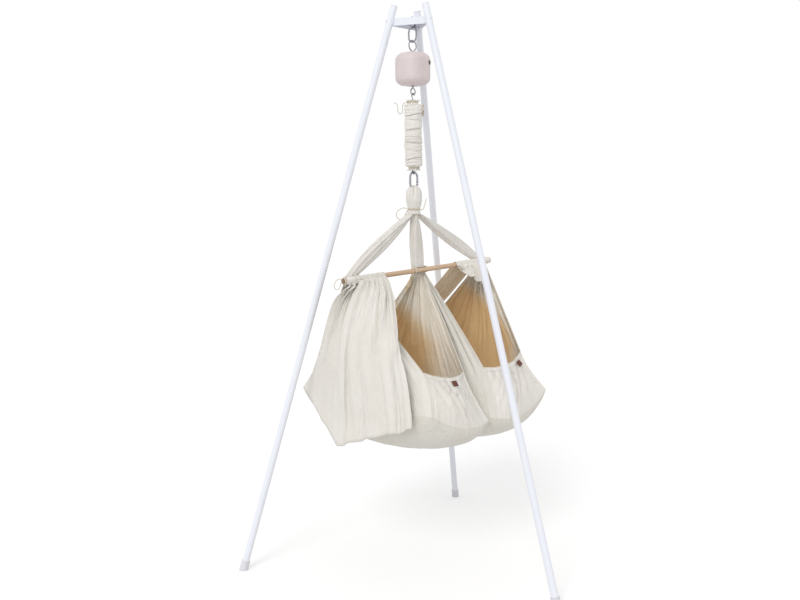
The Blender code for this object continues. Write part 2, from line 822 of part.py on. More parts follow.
def pinion_outline():
    """Involute pinion in its own plane, with a gap towards -X so that a rack tooth fits it."""
    pitch_r = GEAR_MODULE * PINION_TEETH / 2
    base_r = pitch_r * math.cos(PRESSURE_ANGLE)
    tip_r = pitch_r + 0.9 * GEAR_MODULE
    root_r = pitch_r - 1.25 * GEAR_MODULE
    half_tooth = (math.pi * GEAR_MODULE / 2 - TOOTH_BACKLASH) / 2 / pitch_r
    levels = [root_r, pitch_r, tip_r]
    outline = []
    for tooth in range(PINION_TEETH):
        centre = math.pi + 2 * math.pi * (tooth + 0.5) / PINION_TEETH
        flank = []
        for level in levels:
            at_level = math.acos(min(1.0, base_r / level))
            flank.append((level, half_tooth + involute(PRESSURE_ANGLE) - involute(at_level)))
        for level, half in flank:
            outline.append((level * math.cos(centre - half), level * math.sin(centre - half)))
        for level, half in reversed(flank):
            outline.append((level * math.cos(centre + half), level * math.sin(centre + half)))
    return outline


def rack_outline():
    """Side view (x, z) of the toothed bar: flat back, teeth towards +X, one tooth centred on the pinion."""
    pitch_x = rack_pitch_x()
    tip_x = pitch_x + 0.9 * GEAR_MODULE
    root_x = pitch_x - 1.25 * GEAR_MODULE
    step = math.pi * GEAR_MODULE
    half_pitch = (step / 2 - TOOTH_BACKLASH) / 2
    slope = math.tan(PRESSURE_ANGLE)
    half_tip = half_pitch - (tip_x - pitch_x) * slope
    half_root = half_pitch + (pitch_x - root_x) * slope
    first = -2
    last = first + math.ceil(OUTPUT_STROKE / step) + 2
    outline = [(-OUTPUT_ROD_R, first * step - 0.004), (root_x, first * step - 0.004)]
    for tooth in range(first, last + 1):
        z = tooth * step
        outline += [
            (root_x, z - half_root),
            (tip_x, z - half_tip),
            (tip_x, z + half_tip),
            (root_x, z + half_root),
        ]
    outline += [(root_x, last * step + 0.004), (-OUTPUT_ROD_R, last * step + 0.004)]
    return [(x, z + MOTOR_CENTRE_Z) for x, z in outline]


def make_drive():
    """Toothed output rod, its pinion and the gear motor behind them."""
    rack = piece(
        "output_rack",
        extruded(rack_outline(), 1, -GEAR_WIDTH / 2, GEAR_WIDTH / 2),
        BRIGHT_STEEL,
        origin=(0, 0, MOTOR_CENTRE_Z),
    )
    shank = tool("output_shank", rod_shape(OUTPUT_ROD_R, OUTPUT_ROD_END_Z, MOTOR_CENTRE_Z - 0.012))
    combine(rack, shank, "UNION")
    eye_neck = OUTPUT_ROD_END_Z - 0.005
    wire_eye("output_eye", OUTPUT_EYE_R, OUTPUT_EYE_LOW_Z, eye_neck, OUTPUT_ROD_END_Z - TOUCH)

    axis = Vector((pinion_x(), 0, MOTOR_CENTRE_Z))
    wheel_shape = extruded(pinion_outline(), 1, -GEAR_WIDTH / 2, GEAR_WIDTH / 2)
    wheel_shape.transform(Matrix.Translation(axis))
    wheel = piece("drive_pinion", wheel_shape, BRASS, origin=axis)
    shaft_end = HANGER_BACK_Y + HANGER_SHEET + 0.012
    shaft_shape = extruded(polygon(16, PINION_SHAFT_R), 1, -GEAR_WIDTH / 2 - 0.002, shaft_end)
    shaft_shape.transform(Matrix.Translation(axis))
    combine(wheel, tool("pinion_shaft", shaft_shape), "UNION")

    face = HANGER_BACK_Y + HANGER_SHEET + TOUCH
    can_end = MOTOR_HALF_WIDTH - MOTOR_WALL - MOTOR_CAN_CLEAR
    motor_shape = turned(
        [
            (PINION_SHAFT_R + RUN, face),
            (GEARBOX_R, face),
            (GEARBOX_R, face + GEARBOX_DEPTH),
            (MOTOR_CAN_R, face + GEARBOX_DEPTH + 0.001),
            (MOTOR_CAN_R, can_end),
            (0, can_end),
            (0, face + 0.014),
            (PINION_SHAFT_R + RUN, face + 0.014),
        ],
        16,
        hollow=True,
    )
    bmesh.ops.remove_doubles(motor_shape, verts=motor_shape.verts, dist=1e-6)
    motor_shape.transform(Matrix.Rotation(math.radians(-90), 4, "X"))
    motor_shape.transform(Matrix.Translation(axis))
    piece("gear_motor", motor_shape, GREY_PLASTIC)


# Spring and sleeve


def spring_path():
    """Hook, coils, hook as one route: the coils are a helix that winds out of each hook."""
    high = HOOK_TOP_Z - SPRING_HOOK_R
    low = HOOK_LOW_Z + SPRING_HOOK_R
    hook_turn = math.radians(220)
    upper = circle_path(
        SPRING_HOOK_R, (0, 0, high), "YZ", 11, math.radians(190), -hook_turn, closed=False
    )
    coil_top = SLEEVE_TOP_Z - 0.019
    coil_bottom = SLEEVE_BOTTOM_Z + 0.019
    per_turn = 8
    steps = SPRING_TURNS * per_turn
    coils = []
    for index in range(steps + 1):
        turn = math.radians(20) + 2 * math.pi * index / per_turn
        reach = SPRING_COIL_R * (0.62 + 0.38 * min(1.0, index / 5, (steps - index) / 5))
        height = lerp(coil_top, coil_bottom, index / steps)
        coils.append(Vector((reach * math.sin(turn), reach * math.cos(turn), height)))
    lower = circle_path(
        SPRING_HOOK_R, (0, 0, low), "YZ", 11, math.radians(20), -hook_turn, closed=False
    )
    lead_in = (
        Vector((0.0005, 0.0030, high - SPRING_HOOK_R)),
        Vector((0.0020, 0.0040, coil_top + 0.012)),
        Vector((0.0035, 0.0085, coil_top + 0.004)),
    )
    lead_out = (
        Vector((-0.0035, 0.0085, coil_bottom - 0.004)),
        Vector((-0.0020, 0.0040, coil_bottom - 0.012)),
        Vector((-0.0005, 0.0055, low + SPRING_HOOK_R + 0.0010)),
    )
    return [*upper, *lead_in, *coils, *lead_out, *lower]


def least_gap(path, diameter):
    """Smallest clear distance between stretches of a wire that aren't next to each other."""
    points = np.array([tuple(point) for point in path])
    along = np.concatenate([[0], np.cumsum(np.linalg.norm(np.diff(points, axis=0), axis=1))])
    apart = np.linalg.norm(points[:, None] - points[None], axis=2)
    far_along = np.abs(along[:, None] - along[None]) > 4 * diameter
    return apart[far_along].min() - diameter


def make_spring():
    path = spring_path()
    print("spring: least gap to itself, mm:", round(1000 * least_gap(path, 2 * SPRING_WIRE_R), 2))
    piece("spring", swept(path, SPRING_WIRE_R, 6), BRIGHT_STEEL, origin=(0, 0, HOOK_TOP_Z))


def sleeve_profile(bore_r, end_z, inward):
    """Drawn-in end of the sleeve: frill, groove for the tie, shoulder. Radius and height, end first."""
    return (
        (bore_r + SLEEVE_WALL + 0.0010, end_z),
        (bore_r + SLEEVE_WALL + 0.0045, end_z + inward * 0.0025),
        (bore_r + SLEEVE_WALL, end_z + inward * 0.0060),
        (bore_r + SLEEVE_WALL, end_z + inward * 0.0085),
    )


def make_sleeve():
    """Ruched tube, tied in at both ends, open where the hooks come out."""
    low = SLEEVE_BOTTOM_Z
    levels = 3 * SLEEVE_RUCHES
    segments = 14
    bore_r = SPRING_HOOK_R + SPRING_WIRE_R + 0.0040
    inner_r = SPRING_COIL_R + SPRING_WIRE_R + 0.0015
    top_end = sleeve_profile(bore_r, SLEEVE_TOP_Z, -1)
    low_end = sleeve_profile(bore_r, low, 1)
    outer = [circle_points(radius, radius, height, segments) for radius, height in top_end]
    body_top = SLEEVE_TOP_Z - 0.013
    body_low = low + 0.013
    for level in range(levels + 1):
        share = level / levels
        height = lerp(body_top, body_low, share)
        drawn = min(1.0, 0.82 + 0.18 * min(share, 1 - share) * levels / 2)
        ring = []
        for step in range(segments):
            turn = 2 * math.pi * step / segments
            lean = 0.9 * math.sin(turn) + 0.6 * math.sin(3 * turn)
            wave = math.sin(2 * math.pi * SLEEVE_RUCHES * share + lean)
            radius = (SLEEVE_OUTER_R + 0.0016 * wave) * drawn
            ring.append(Vector((radius * math.cos(turn), radius * math.sin(turn), height)))
        outer.append(ring)
    outer += [circle_points(radius, radius, height, segments) for radius, height in reversed(low_end)]
    bore = (
        (bore_r, low),
        (bore_r, low + 0.0095),
        (inner_r, low + 0.0150),
        (inner_r, SLEEVE_TOP_Z - 0.0150),
        (bore_r, SLEEVE_TOP_Z - 0.0095),
        (bore_r, SLEEVE_TOP_Z),
    )
    inner = [circle_points(radius, radius, height, segments) for radius, height in bore]
    piece("spring_sleeve", loft([*outer, *inner], closed=True), COTTON, origin=(0, 0, HOOK_TOP_Z))
    tie_r = bore_r + SLEEVE_WALL + TOUCH + TIE_CORD_R
    for name, height in (("top", SLEEVE_TOP_Z - SLEEVE_TIE_IN), ("bottom", low + SLEEVE_TIE_IN)):
        ring = circle_points(tie_r, tie_r, height, segments)
        piece("sleeve_tie_" + name, swept(ring, TIE_CORD_R, 6, closed=True), COTTON)


def circle_points(half_x, half_y, height, count=20, centre=(0, 0)):
    path = []
    for index in range(count):
        turn = 2 * math.pi * index / count
        path.append(
            Vector((centre[0] + half_x * math.cos(turn), centre[1] + half_y * math.sin(turn), height))
        )
    return path


# Neck and bunches


def neck_section(height):
    """Half axes of the gathered neck at a height: narrow at the tie, spread below the carabiner."""
    levels = (
        (NECK_BOTTOM_Z, 0.0260, 0.0200),
        (NECK_TIE_Z - 0.006, 0.0230, 0.0175),
        (NECK_TIE_Z, 0.0210, 0.0160),
        (NECK_TIE_Z + 0.006, 0.0235, 0.0180),
        (NECK_TIE_Z + 0.030, 0.0335, 0.0250),
        (NECK_TIE_Z + 0.058, 0.0335, 0.0250),
        (LINK_BAR_Z - 0.006, 0.0300, 0.0225),
        (LINK_BAR_Z + 0.003, 0.0230, 0.0190),
        (LINK_BAR_Z + 0.009, 0.0130, 0.0140),
        (LINK_BAR_Z + 0.012, 0.0080, 0.0090),
    )
    heights = [level[0] for level in levels]
    half_x = float(np.interp(height, heights, [level[1] for level in levels]))
    half_y = float(np.interp(height, heights, [level[2] for level in levels]))
    return half_x, half_y


def make_neck():
    top = LINK_BAR_Z + 0.012
    heights = [
        NECK_BOTTOM_Z,
        NECK_TIE_Z - 0.006,
        NECK_TIE_Z,
        NECK_TIE_Z + 0.006,
        NECK_TIE_Z + 0.018,
        NECK_TIE_Z + 0.030,
        NECK_TIE_Z + 0.045,
        NECK_TIE_Z + 0.058,
        LINK_BAR_Z - 0.006,
        LINK_BAR_Z + 0.003,
        LINK_BAR_Z + 0.009,
        top,
    ]
    rings = []
    for height in heights:
        half_x, half_y = neck_section(height)
        rings.append(circle_points(half_x, half_y, height, 14))
    neck = piece("hammock_neck", loft(rings), COTTON)
    half_width, straight = link_sizes(LOWER_LINK_WIDTH, LOWER_LINK_HEIGHT, LOWER_LINK_WIRE_R)
    middle = LOWER_LINK_TOP_Z - LOWER_LINK_HEIGHT / 2
    path = [(half_width, 0, middle + straight)]
    for index in range(11):
        turn = math.pi + math.pi * index / 10
        path.append((-half_width * math.cos(turn), 0, middle - straight + half_width * math.sin(turn)))
    path.append((-half_width, 0, middle + straight))
    channel = tool("neck_channel", swept(path, LOWER_LINK_WIRE_R + 0.0005, 8))
    combine(neck, channel, "DIFFERENCE")
    half_x, half_y = neck_section(NECK_TIE_Z)
    gap = TIE_CORD_R + 0.0006
    ring = circle_points(half_x + gap, half_y + gap, NECK_TIE_Z, 14)
    piece("neck_tie", swept(ring, TIE_CORD_R, 6, closed=True), COTTON)


def rod_height(x):
    """Height of the rod's axis at a place along it."""
    return ROD_Z + (x - HAMMOCK_X) * math.tan(ROD_TILT)


def gather_y():
    """The gathered cloth passes behind the rod: front layer, back layer."""
    front = HAMMOCK_Y + ROD_R + TOUCH + CLOTH / 2 + 0.0004
    return front, front + CLOTH + 0.0012


GATHERS = {
    "left": HAMMOCK_X - ROD_LENGTH / 2 + GATHER_HALF + 0.012,
    "centre": HAMMOCK_X,
    "right": HAMMOCK_X + ROD_LENGTH / 2 - GATHER_HALF - 0.012,
}


def gather_top(x):
    return rod_height(x) + ROD_R + 0.004


def gather_low(x):
    """Where the fanned cloth meets the gather, just under the rod, from where it goes up behind it."""
    return rod_height(x) - ROD_R - 0.006


def make_bunches():
    """Three gathered bunches, lofted from flat ovals, from under the neck to behind the rod."""
    back = HAMMOCK_Y + ROD_R + 0.0115
    starts = {"left": -0.0172, "centre": 0.0, "right": 0.0172}
    for side, start_x in starts.items():
        end_x = GATHERS[side]
        half_x = GATHER_HALF * (CENTRE_GATHER if side == "centre" else 1.0)
        fullness = CENTRE_FULLNESS if side == "centre" else SIDE_FULLNESS
        low = gather_top(end_x) + 0.0005
        top = NECK_BOTTOM_Z - TOUCH
        rings = []
        for step in range(9):
            share = step / 8
            ease = share * share * (3 - 2 * share)
            centre = (lerp(start_x, end_x, share**0.96), lerp(0, back, ease))
            rings.append(
                circle_points(
                    lerp(0.0082, half_x, share**0.6) + fullness * math.sin(math.pi * share),
                    lerp(0.0180, 0.0095, ease),
                    lerp(top, low, share),
                    12,
                    centre,
                )
            )
            for point in rings[-1]:
                point.z += (point.x - centre[0]) * math.tan(ROD_TILT) * ease
        piece("bunch_" + side, loft(rings), COTTON)


def rod_tie_places():
    """Where the ties sit along the rod, from its middle."""
    half = ROD_LENGTH / 2
    return {
        "left": ROD_TIE_IN - half,
        "centre": -CENTRE_GATHER * GATHER_HALF - 0.006,
        "right": half - ROD_TIE_IN,
    }


def make_rod():
    lean = Matrix.Rotation(math.radians(90) - ROD_TILT, 4, "Y")
    frame = Matrix.Translation((HAMMOCK_X, HAMMOCK_Y, ROD_Z)) @ lean
    half = ROD_LENGTH / 2
    profile = [
        (0, -half),
        (ROD_R - 0.003, -half),
        (ROD_R - 0.0008, -half + 0.0012),
        (ROD_R, -half + 0.003),
        (ROD_R, half - 0.003),
        (ROD_R - 0.0008, half - 0.0012),
        (ROD_R - 0.003, half),
        (0, half),
    ]
    piece("spreader_rod", turned(profile, 16), WOOD, matrix=frame)
    ring_r = ROD_R + TOUCH + TIE_CORD_R
    for side, along in rod_tie_places().items():
        ring = [Vector((point.x, point.y, along)) for point in circle_points(ring_r, ring_r, 0, 12)]
        piece("rod_tie_" + side, swept(ring, TIE_CORD_R, 6, closed=True), COTTON, matrix=frame)


# Free ends and loops of the tie cords

NECK_BOW_LEFT = (
    (-0.0217, 0.0097, 0.0018),
    (-0.0320, 0.0240, 0.0050),
    (-0.0440, 0.0360, -0.0030),
    (-0.0500, 0.0410, -0.0180),
    (-0.0450, 0.0370, -0.0330),
    (-0.0350, 0.0280, -0.0360),
    (-0.0290, 0.0200, -0.0240),
    (-0.0217, 0.0097, -0.0018),
)
NECK_BOW_RIGHT = (
    (0.0217, -0.0097, 0.0000),
    (0.0265, -0.0140, -0.0035),
    (0.0300, -0.0180, -0.0015),
    (0.0315, -0.0205, 0.0080),
    (0.0330, -0.0230, 0.0190),
    (0.0350, -0.0252, 0.0300),
    (0.0368, -0.0270, 0.0390),
)
ROD_BOW = (
    (-0.0010, 0.0114, 0.0053),
    (-0.0040, 0.0200, 0.0070),
    (-0.0090, 0.0290, 0.0020),
    (-0.0135, 0.0345, -0.0090),
    (-0.0140, 0.0350, -0.0210),
    (-0.0100, 0.0300, -0.0290),
    (-0.0040, 0.0235, -0.0270),
    (0.0000, 0.0200, -0.0160),
    (0.0010, 0.0180, -0.0070),
    (0.0010, 0.0126, -0.0011),
)
SLEEVE_BOW = (
    (0.0191, 128.0, 0.0000),
    (0.0245, 128.5, 0.0004),
    (0.0310, 129.5, 0.0000),
    (0.0368, 131.0, -0.0070),
    (0.0405, 133.0, -0.0220),
    (0.0405, 136.0, -0.0380),
    (0.0372, 139.0, -0.0425),
    (0.0365, 141.0, -0.0300),
    (0.0372, 143.0, -0.0150),
    (0.0385, 144.0, -0.0040),
    (0.0455, 141.5, 0.0015),
    (0.0530, 138.5, 0.0010),
    (0.0600, 136.5, -0.0030),
)


def curve_through(controls, steps=6):
    """Catmull-Rom curve through the control points."""
    points = [Vector(point) for point in controls]
    padded = [2 * points[0] - points[1], *points, 2 * points[-1] - points[-2]]
    path = []
    for index in range(1, len(padded) - 2):
        a, b, c, d = padded[index - 1 : index + 3]
        for step in range(steps):
            t = step / steps
            bend = (2 * a - 5 * b + 4 * c - d) * t * t + (3 * b - a - 3 * c + d) * t**3
            path.append(b + 0.5 * ((c - a) * t + bend))
    path.append(points[-1])
    return path


def spaced_along(path, spacing):
    """Points on a path, evenly apart and near the wanted spacing."""
    points = np.array([tuple(point) for point in path])
    along = np.concatenate([[0], np.cumsum(np.linalg.norm(np.diff(points, axis=0), axis=1))])
    places = np.linspace(0, along[-1], max(3, round(along[-1] / spacing) + 1))
    columns = [np.interp(places, along, points[:, axis]) for axis in range(3)]
    return [Vector(point) for point in zip(*columns)]


def make_bows():
    """Each bow starts at its tie, and its route is an offset from the tie's centre."""
    from_polar = []
    for radius, degrees, rise in SLEEVE_BOW:
        turn = math.radians(degrees)
        from_polar.append((radius * math.cos(turn), radius * math.sin(turn), rise))
    rod_end = rod_tie_places()["left"]
    rod_tie = (
        HAMMOCK_X + rod_end * math.cos(ROD_TILT),
        HAMMOCK_Y,
        ROD_Z + rod_end * math.sin(ROD_TILT),
    )
    routes = {
        "neck_bow_left": (NECK_BOW_LEFT, (0, 0, NECK_TIE_Z)),
        "neck_bow_right": (NECK_BOW_RIGHT, (0, 0, NECK_TIE_Z)),
        "rod_bow": (ROD_BOW, rod_tie),
        "sleeve_bow": (from_polar, (0, 0, SLEEVE_TOP_Z - SLEEVE_TIE_IN)),
    }
    for name, (route, centre) in routes.items():
        placed = [Vector(point) + Vector(centre) for point in route]
        path = spaced_along(curve_through(placed), BOW_SPACING)
        length = sum((b - a).length for a, b in zip(path, path[1:]))
        gap = least_gap(path, 2 * TIE_CORD_R)
        print(name, "length mm", round(1000 * length), "least gap to itself mm", round(1000 * gap, 2))
        piece(name, swept(path, TIE_CORD_R, 5), COTTON)


# Pouches: the cloth's middle surface as a formula of the way round and the way up


def ease(share):
    return share * share * (3 - 2 * share)


def hem_share():
    """How far up the wall, from seam to rod, the end panel's hem reaches."""
    return (HEM_Z - SEAM_Z_OUTER) / (ROD_Z - SEAM_Z_OUTER)


def seam_point(side, wall, along):
    """Seam of the base under a wall. side -1 is the left pouch; wall -1 its outer wall, 1 its inner."""
    outer = POUCH_WIDTH + POUCH_GAP / 2
    inner = POUCH_GAP / 2
    corner = 0.018 * abs(along) ** 6
    reach = outer - corner if wall < 0 else inner + corner
    level = SEAM_Z_OUTER if wall < 0 else SEAM_Z_INNER
    return Vector((HAMMOCK_X + side * reach, HAMMOCK_Y + along * POUCH_LENGTH / 2, level))


def gather_point(side, wall, along):
    """Where a column of wall cloth reaches the rod; near columns stay nearer to the rod's right end."""
    front, back = gather_y()
    centre = GATHERS["centre"] if wall > 0 else GATHERS["left" if side < 0 else "right"]
    if wall > 0:
        centre += side * 0.006
    x = centre - GATHER_HALF * along
    layer = back if wall > 0 and side > 0 else front
    return Vector((x, layer, gather_low(x)))


def wall_point(side, wall, along, up):
    """Middle surface of a long wall. along -1 near to 1 far, up 0 at the seam to 1 under the rod.

    up 2 is the cloth's upper end, behind and just above the rod."""
    base = seam_point(side, wall, along)
    top = gather_point(side, wall, along)
    if up == 2:
        return Vector((top.x, top.y, gather_top(top.x)))
    hem = hem_share()
    edge_y = HEM_Y / (POUCH_LENGTH / 2)
    if up < hem:
        tight = lerp(1.0, edge_y, up / hem)
        pull = math.sin(math.pi / 2 * up / hem)
    else:
        tight = edge_y * (1 - up) / (1 - hem)
        pull = (1 - up) / (1 - hem)
    edge_share = along * along
    fan = lerp(1 - up, tight, edge_share)
    y = top.y + (base.y - top.y) * fan
    x = lerp(base.x, top.x, up)
    toward_middle = -side if wall < 0 else side
    x += toward_middle * HEM_PULLS[side, wall] * edge_share * edge_share * pull
    bulge = math.sin(math.pi * min(1.0, up * 1.25)) if up < 0.8 else 0.0
    x -= toward_middle * 0.022 * bulge * (1 - edge_share) * (1.0 if wall < 0 else -0.35)
    folds = math.sin(math.pi * PLEATS * along) * math.sin(math.pi * up) ** 0.8 * (1 - 0.25 * edge_share)
    x += 0.5 * PLEAT_DEPTH * folds * (1 if wall < 0 else -1) * (1 - up * 0.6)
    sag = SEAM_Z_INNER - SEAM_Z_OUTER if wall > 0 else 0.0
    z = lerp(SEAM_Z_OUTER, top.z, up) + sag * (1 - up) ** 2
    return Vector((x, y, z))


def panel_point(side, end, across, up):
    """Middle surface of an end panel: end -1 near, 1 far; across 0 outer wall to 1 inner wall."""
    hem = hem_share()
    first = wall_point(side, -1, end, up * hem)
    second = wall_point(side, 1, end, up * hem)
    point = first.lerp(second, across)
    middle = 4 * across * (1 - across)
    point.z -= middle * lerp(0.030, 0.016, up)
    point.y += end * middle * (0.012 + 0.030 * math.sin(math.pi * up * 0.85))
    gathers = math.sin(2 * math.pi * 4 * across) * up * (1 - 0.4 * up)
    point.y += end * 0.004 * gathers * middle
    return point


def base_point(side, across, along):
    """Middle surface of the sagging base, which meets the walls and the panels at the seam."""
    first = seam_point(side, -1, along)
    second = seam_point(side, 1, along)
    point = first.lerp(second, across)
    middle = 4 * across * (1 - across)
    point.z -= middle * 0.030 * abs(along) ** 4
    point.y += math.copysign(0.012, along) * middle * abs(along) ** 4
    spread = (1 - abs(2 * across - 1) ** 2.6) ** 0.5 * max(0.0, 1 - abs(along) ** 2.8) ** 0.5
    point.z -= BASE_DEPTH * spread
    return point


def graded(count, strength=0.55):
    """Evenly numbered shares from 0 to 1, packed closer towards both ends."""
    shares = [index / count for index in range(count + 1)]
    return [lerp(share, (1 - math.cos(math.pi * share)) / 2, strength) for share in shares]


def grid_faces(shape, rows):
    for low, high in zip(rows, rows[1:]):
        for index in range(len(low) - 1):
            corners = [low[index], low[index + 1], high[index + 1], high[index]]
            shape.faces.new(list(dict.fromkeys(corners)))


def sheet_grid(shape, rows_of_points):
    grid_faces(shape, [[shape.verts.new(point) for point in row] for row in rows_of_points])


def pouch_sheet(side):
    """The pouch's open middle surface: two walls, two end panels and a base, joined at their seams."""
    shape = bmesh.new()
    columns = [2 * share - 1 for share in graded(ALONG_STEPS)]
    across = graded(ACROSS_STEPS)
    hem = hem_share()
    low_rows = [hem * step / 3 for step in range(4)]
    rows = low_rows + [lerp(hem, 1.0, step / 4) for step in range(1, 5)] + [2]
    for wall in (-1, 1):
        sheet_grid(shape, [[wall_point(side, wall, along, up) for along in columns] for up in rows])
    for end in (-1, 1):
        sheet_grid(
            shape, [[panel_point(side, end, share, step / 3) for share in across] for step in range(4)]
        )
    sheet_grid(shape, [[base_point(side, share, along) for along in columns] for share in across])
    bmesh.ops.remove_doubles(shape, verts=shape.verts, dist=2e-5)
    return shape


def make_pouches():
    for name, side in (("left", -1), ("right", 1)):
        pouch = piece("pouch_" + name, pouch_sheet(side), COTTON)
        wall = pouch.modifiers.new("cloth_thickness", "SOLIDIFY")
        wall.thickness = CLOTH
        wall.offset = 0.0
        make_mattress(name, side)
        make_tag(name, side)


def make_mattress(name, side):
    """Crowned cushion in the base. Its grid is the base's own, so that its underside follows the cloth."""
    columns = graded(ACROSS_STEPS)[1:-1]
    rows = [2 * share - 1 for share in graded(ALONG_STEPS)[2:-2]]
    low = []
    high = []
    for along in rows:
        low_row = []
        high_row = []
        for share in columns:
            under = base_point(side, share, along)
            at_edge = along in (rows[0], rows[-1]) or share in (columns[0], columns[-1])
            seat = under + Vector((0, 0, 0.0075 if at_edge else 0.0055))
            crown = (1 - (2 * share - 1) ** 4) * (1 - (along / rows[-1]) ** 8)
            low_row.append(seat)
            high_row.append(seat + Vector((0, 0, MATTRESS_THICKNESS * (0.35 + 0.65 * crown))))
        low.append(low_row)
        high.append(high_row)
    shape = bmesh.new()
    low = [[shape.verts.new(point) for point in row] for row in low]
    high = [[shape.verts.new(point) for point in row] for row in high]
    grid_faces(shape, low)
    grid_faces(shape, high)
    rims = []
    for grid in (low, high):
        right = [row[-1] for row in grid[1:]]
        left = [row[0] for row in grid[-2:0:-1]]
        rims.append([*grid[0], *right, *reversed(grid[-1][:-1]), *left])
    count = len(rims[0])
    for index in range(count):
        after = (index + 1) % count
        shape.faces.new([rims[0][index], rims[0][after], rims[1][after], rims[1][index]])
    piece("mattress_" + name, shape, MATTRESS_CLOTH)


def on_panel(side, across, up):
    """Point on the near end panel as its mesh lies, between the grid's nodes."""
    shares = graded(ACROSS_STEPS)
    column = max(index for index in range(ACROSS_STEPS) if shares[index] <= across)
    row = min(2, int(up * 3))
    tx = (across - shares[column]) / (shares[column + 1] - shares[column])
    ty = up * 3 - row
    low = [panel_point(side, -1, shares[column + step], row / 3) for step in (0, 1)]
    high = [panel_point(side, -1, shares[column + step], (row + 1) / 3) for step in (0, 1)]
    return low[0].lerp(low[1], tx).lerp(high[0].lerp(high[1], tx), ty)


def make_tag(name, side):
    """Bare leather tag sewn on near the hem of the near end panel."""
    across = 0.56 if side < 0 else 0.22
    up = 0.88
    centre = on_panel(side, across, up)
    along = on_panel(side, across + 0.02, up) - on_panel(side, across - 0.02, up)
    along = along.normalized() * (1 if along.x > 0 else -1)
    rise = on_panel(side, across, up + 0.03) - on_panel(side, across, up - 0.03)
    out = along.cross(rise).normalized()
    out *= -1 if out.y > 0 else 1
    rise = out.cross(along)
    rise *= 1 if rise.z > 0 else -1
    axes = Matrix((along, -out, rise)).transposed()
    place = centre + out * (CLOTH / 2 + 0.0009 + TAG_SIZE[1] / 2)
    half = [size / 2 for size in TAG_SIZE]
    shape = box([-value for value in half], half)
    piece("leather_tag_" + name, shape, LEATHER, matrix=Matrix.Translation(place) @ axes.to_4x4())


# Cover cloths over the rod


DRAPE_LEFT_X = (-0.312, -0.165)
DRAPE_RIGHT_X = (0.175, 0.315)
DRAPE_ROD_GAP = 0.0006
DRAPE_CROSS_DROP = (0.037, 0.187)
DRAPE_LOW_Y = (0.092, -0.282)
DRAPE_LOW_DROP = (0.611, 0.481)
DRAPE_CLEAR = 0.011
DRAPE_ROWS = 7
DRAPE_CROSS = 2 / DRAPE_ROWS
DRAPE_FOLDS = 4
DRAPE_FOLD_DEPTH = 0.012


def over_rod(x, turn):
    """A point of cloth lying on the rod; turn 0 is the near side, pi the far side."""
    radius = ROD_R + DRAPE_ROD_GAP + CLOTH / 2
    return Vector((x, HAMMOCK_Y - radius * math.cos(turn), rod_height(x) + radius * math.sin(turn)))


def wall_outside_x(y, z):
    """X of the left pouch's outer wall at a place, its edge where the place is past it."""
    height = min(max(z, SEAM_Z_OUTER), gather_low(GATHERS["left"]) - 0.002)
    up = (height - SEAM_Z_OUTER) / (gather_low(GATHERS["left"]) - SEAM_Z_OUTER)
    low, high = -1.0, 1.0
    for _ in range(20):
        middle = (low + high) / 2
        if wall_point(-1, -1, middle, up).y < y:
            low = middle
        else:
            high = middle
    return wall_point(-1, -1, (low + high) / 2, up).x


def wall_near_edge(z):
    """The left outer wall's near edge at a height."""
    up = (z - SEAM_Z_OUTER) / (gather_low(GATHERS["left"]) - SEAM_Z_OUTER)
    return wall_point(-1, -1, -1.0, up)


def drape_left_point(across, down):
    """Near half of the left cloth: from the rod it crosses the wall's near edge and falls outside the wall.

    across 0 is the edge by the rod's left end, 1 the edge towards the middle; down 1 is the lower edge."""
    start_x = HAMMOCK_X + lerp(DRAPE_LEFT_X[0], DRAPE_LEFT_X[1], across)
    start = over_rod(start_x, 0.0)
    edge = wall_near_edge(ROD_Z - lerp(DRAPE_CROSS_DROP[0], DRAPE_CROSS_DROP[1], across))
    crossing = edge + Vector((-DRAPE_CLEAR, -2 * DRAPE_CLEAR, 0))
    end_y = HAMMOCK_Y + lerp(DRAPE_LOW_Y[0], DRAPE_LOW_Y[1], across)
    end_z = ROD_Z - lerp(DRAPE_LOW_DROP[0], DRAPE_LOW_DROP[1], across)
    fold = 0.5 + 0.5 * math.sin(2 * math.pi * DRAPE_FOLDS * across + 0.8)
    if down <= DRAPE_CROSS:
        return start.lerp(crossing, down / DRAPE_CROSS)
    share = (down - DRAPE_CROSS) / (1 - DRAPE_CROSS)
    y = lerp(crossing.y, end_y, share)
    z = lerp(crossing.z, end_z, share)
    outward = DRAPE_CLEAR + DRAPE_FOLD_DEPTH * fold * min(1.0, 2 * share)
    return Vector((min(wall_outside_x(y, z), HAMMOCK_X - POUCH_WIDTH) - outward, y, z))


def drape_left_back(across, down):
    """Far half of the left cloth: hangs straight down behind the rod, inside the pouch."""
    start_x = HAMMOCK_X + lerp(DRAPE_LEFT_X[0], DRAPE_LEFT_X[1], across)
    start = over_rod(start_x, math.pi)
    fold = 0.006 * math.sin(2 * math.pi * 3 * across) * min(1.0, down * 4)
    x = start.x + 0.012 * down * (1 - across)
    return Vector((x, start.y + 0.11 * down + fold, start.z - 0.24 * down))


def drape_right_near(across, down):
    """Near half of the right cloth: a short fall in front of the rod. across 1 is the rod's right end."""
    start_x = HAMMOCK_X + lerp(DRAPE_RIGHT_X[0], DRAPE_RIGHT_X[1], across)
    start = over_rod(start_x, 0.0)
    fold = 0.004 * math.sin(2 * math.pi * 2.5 * across + 1.0) * min(1.0, down * 4)
    x = start.x + 0.008 * down * (1 - across)
    fall = lerp(0.050, 0.095, across) * down
    return Vector((x, start.y - 0.45 * fall + fold, start.z - fall))


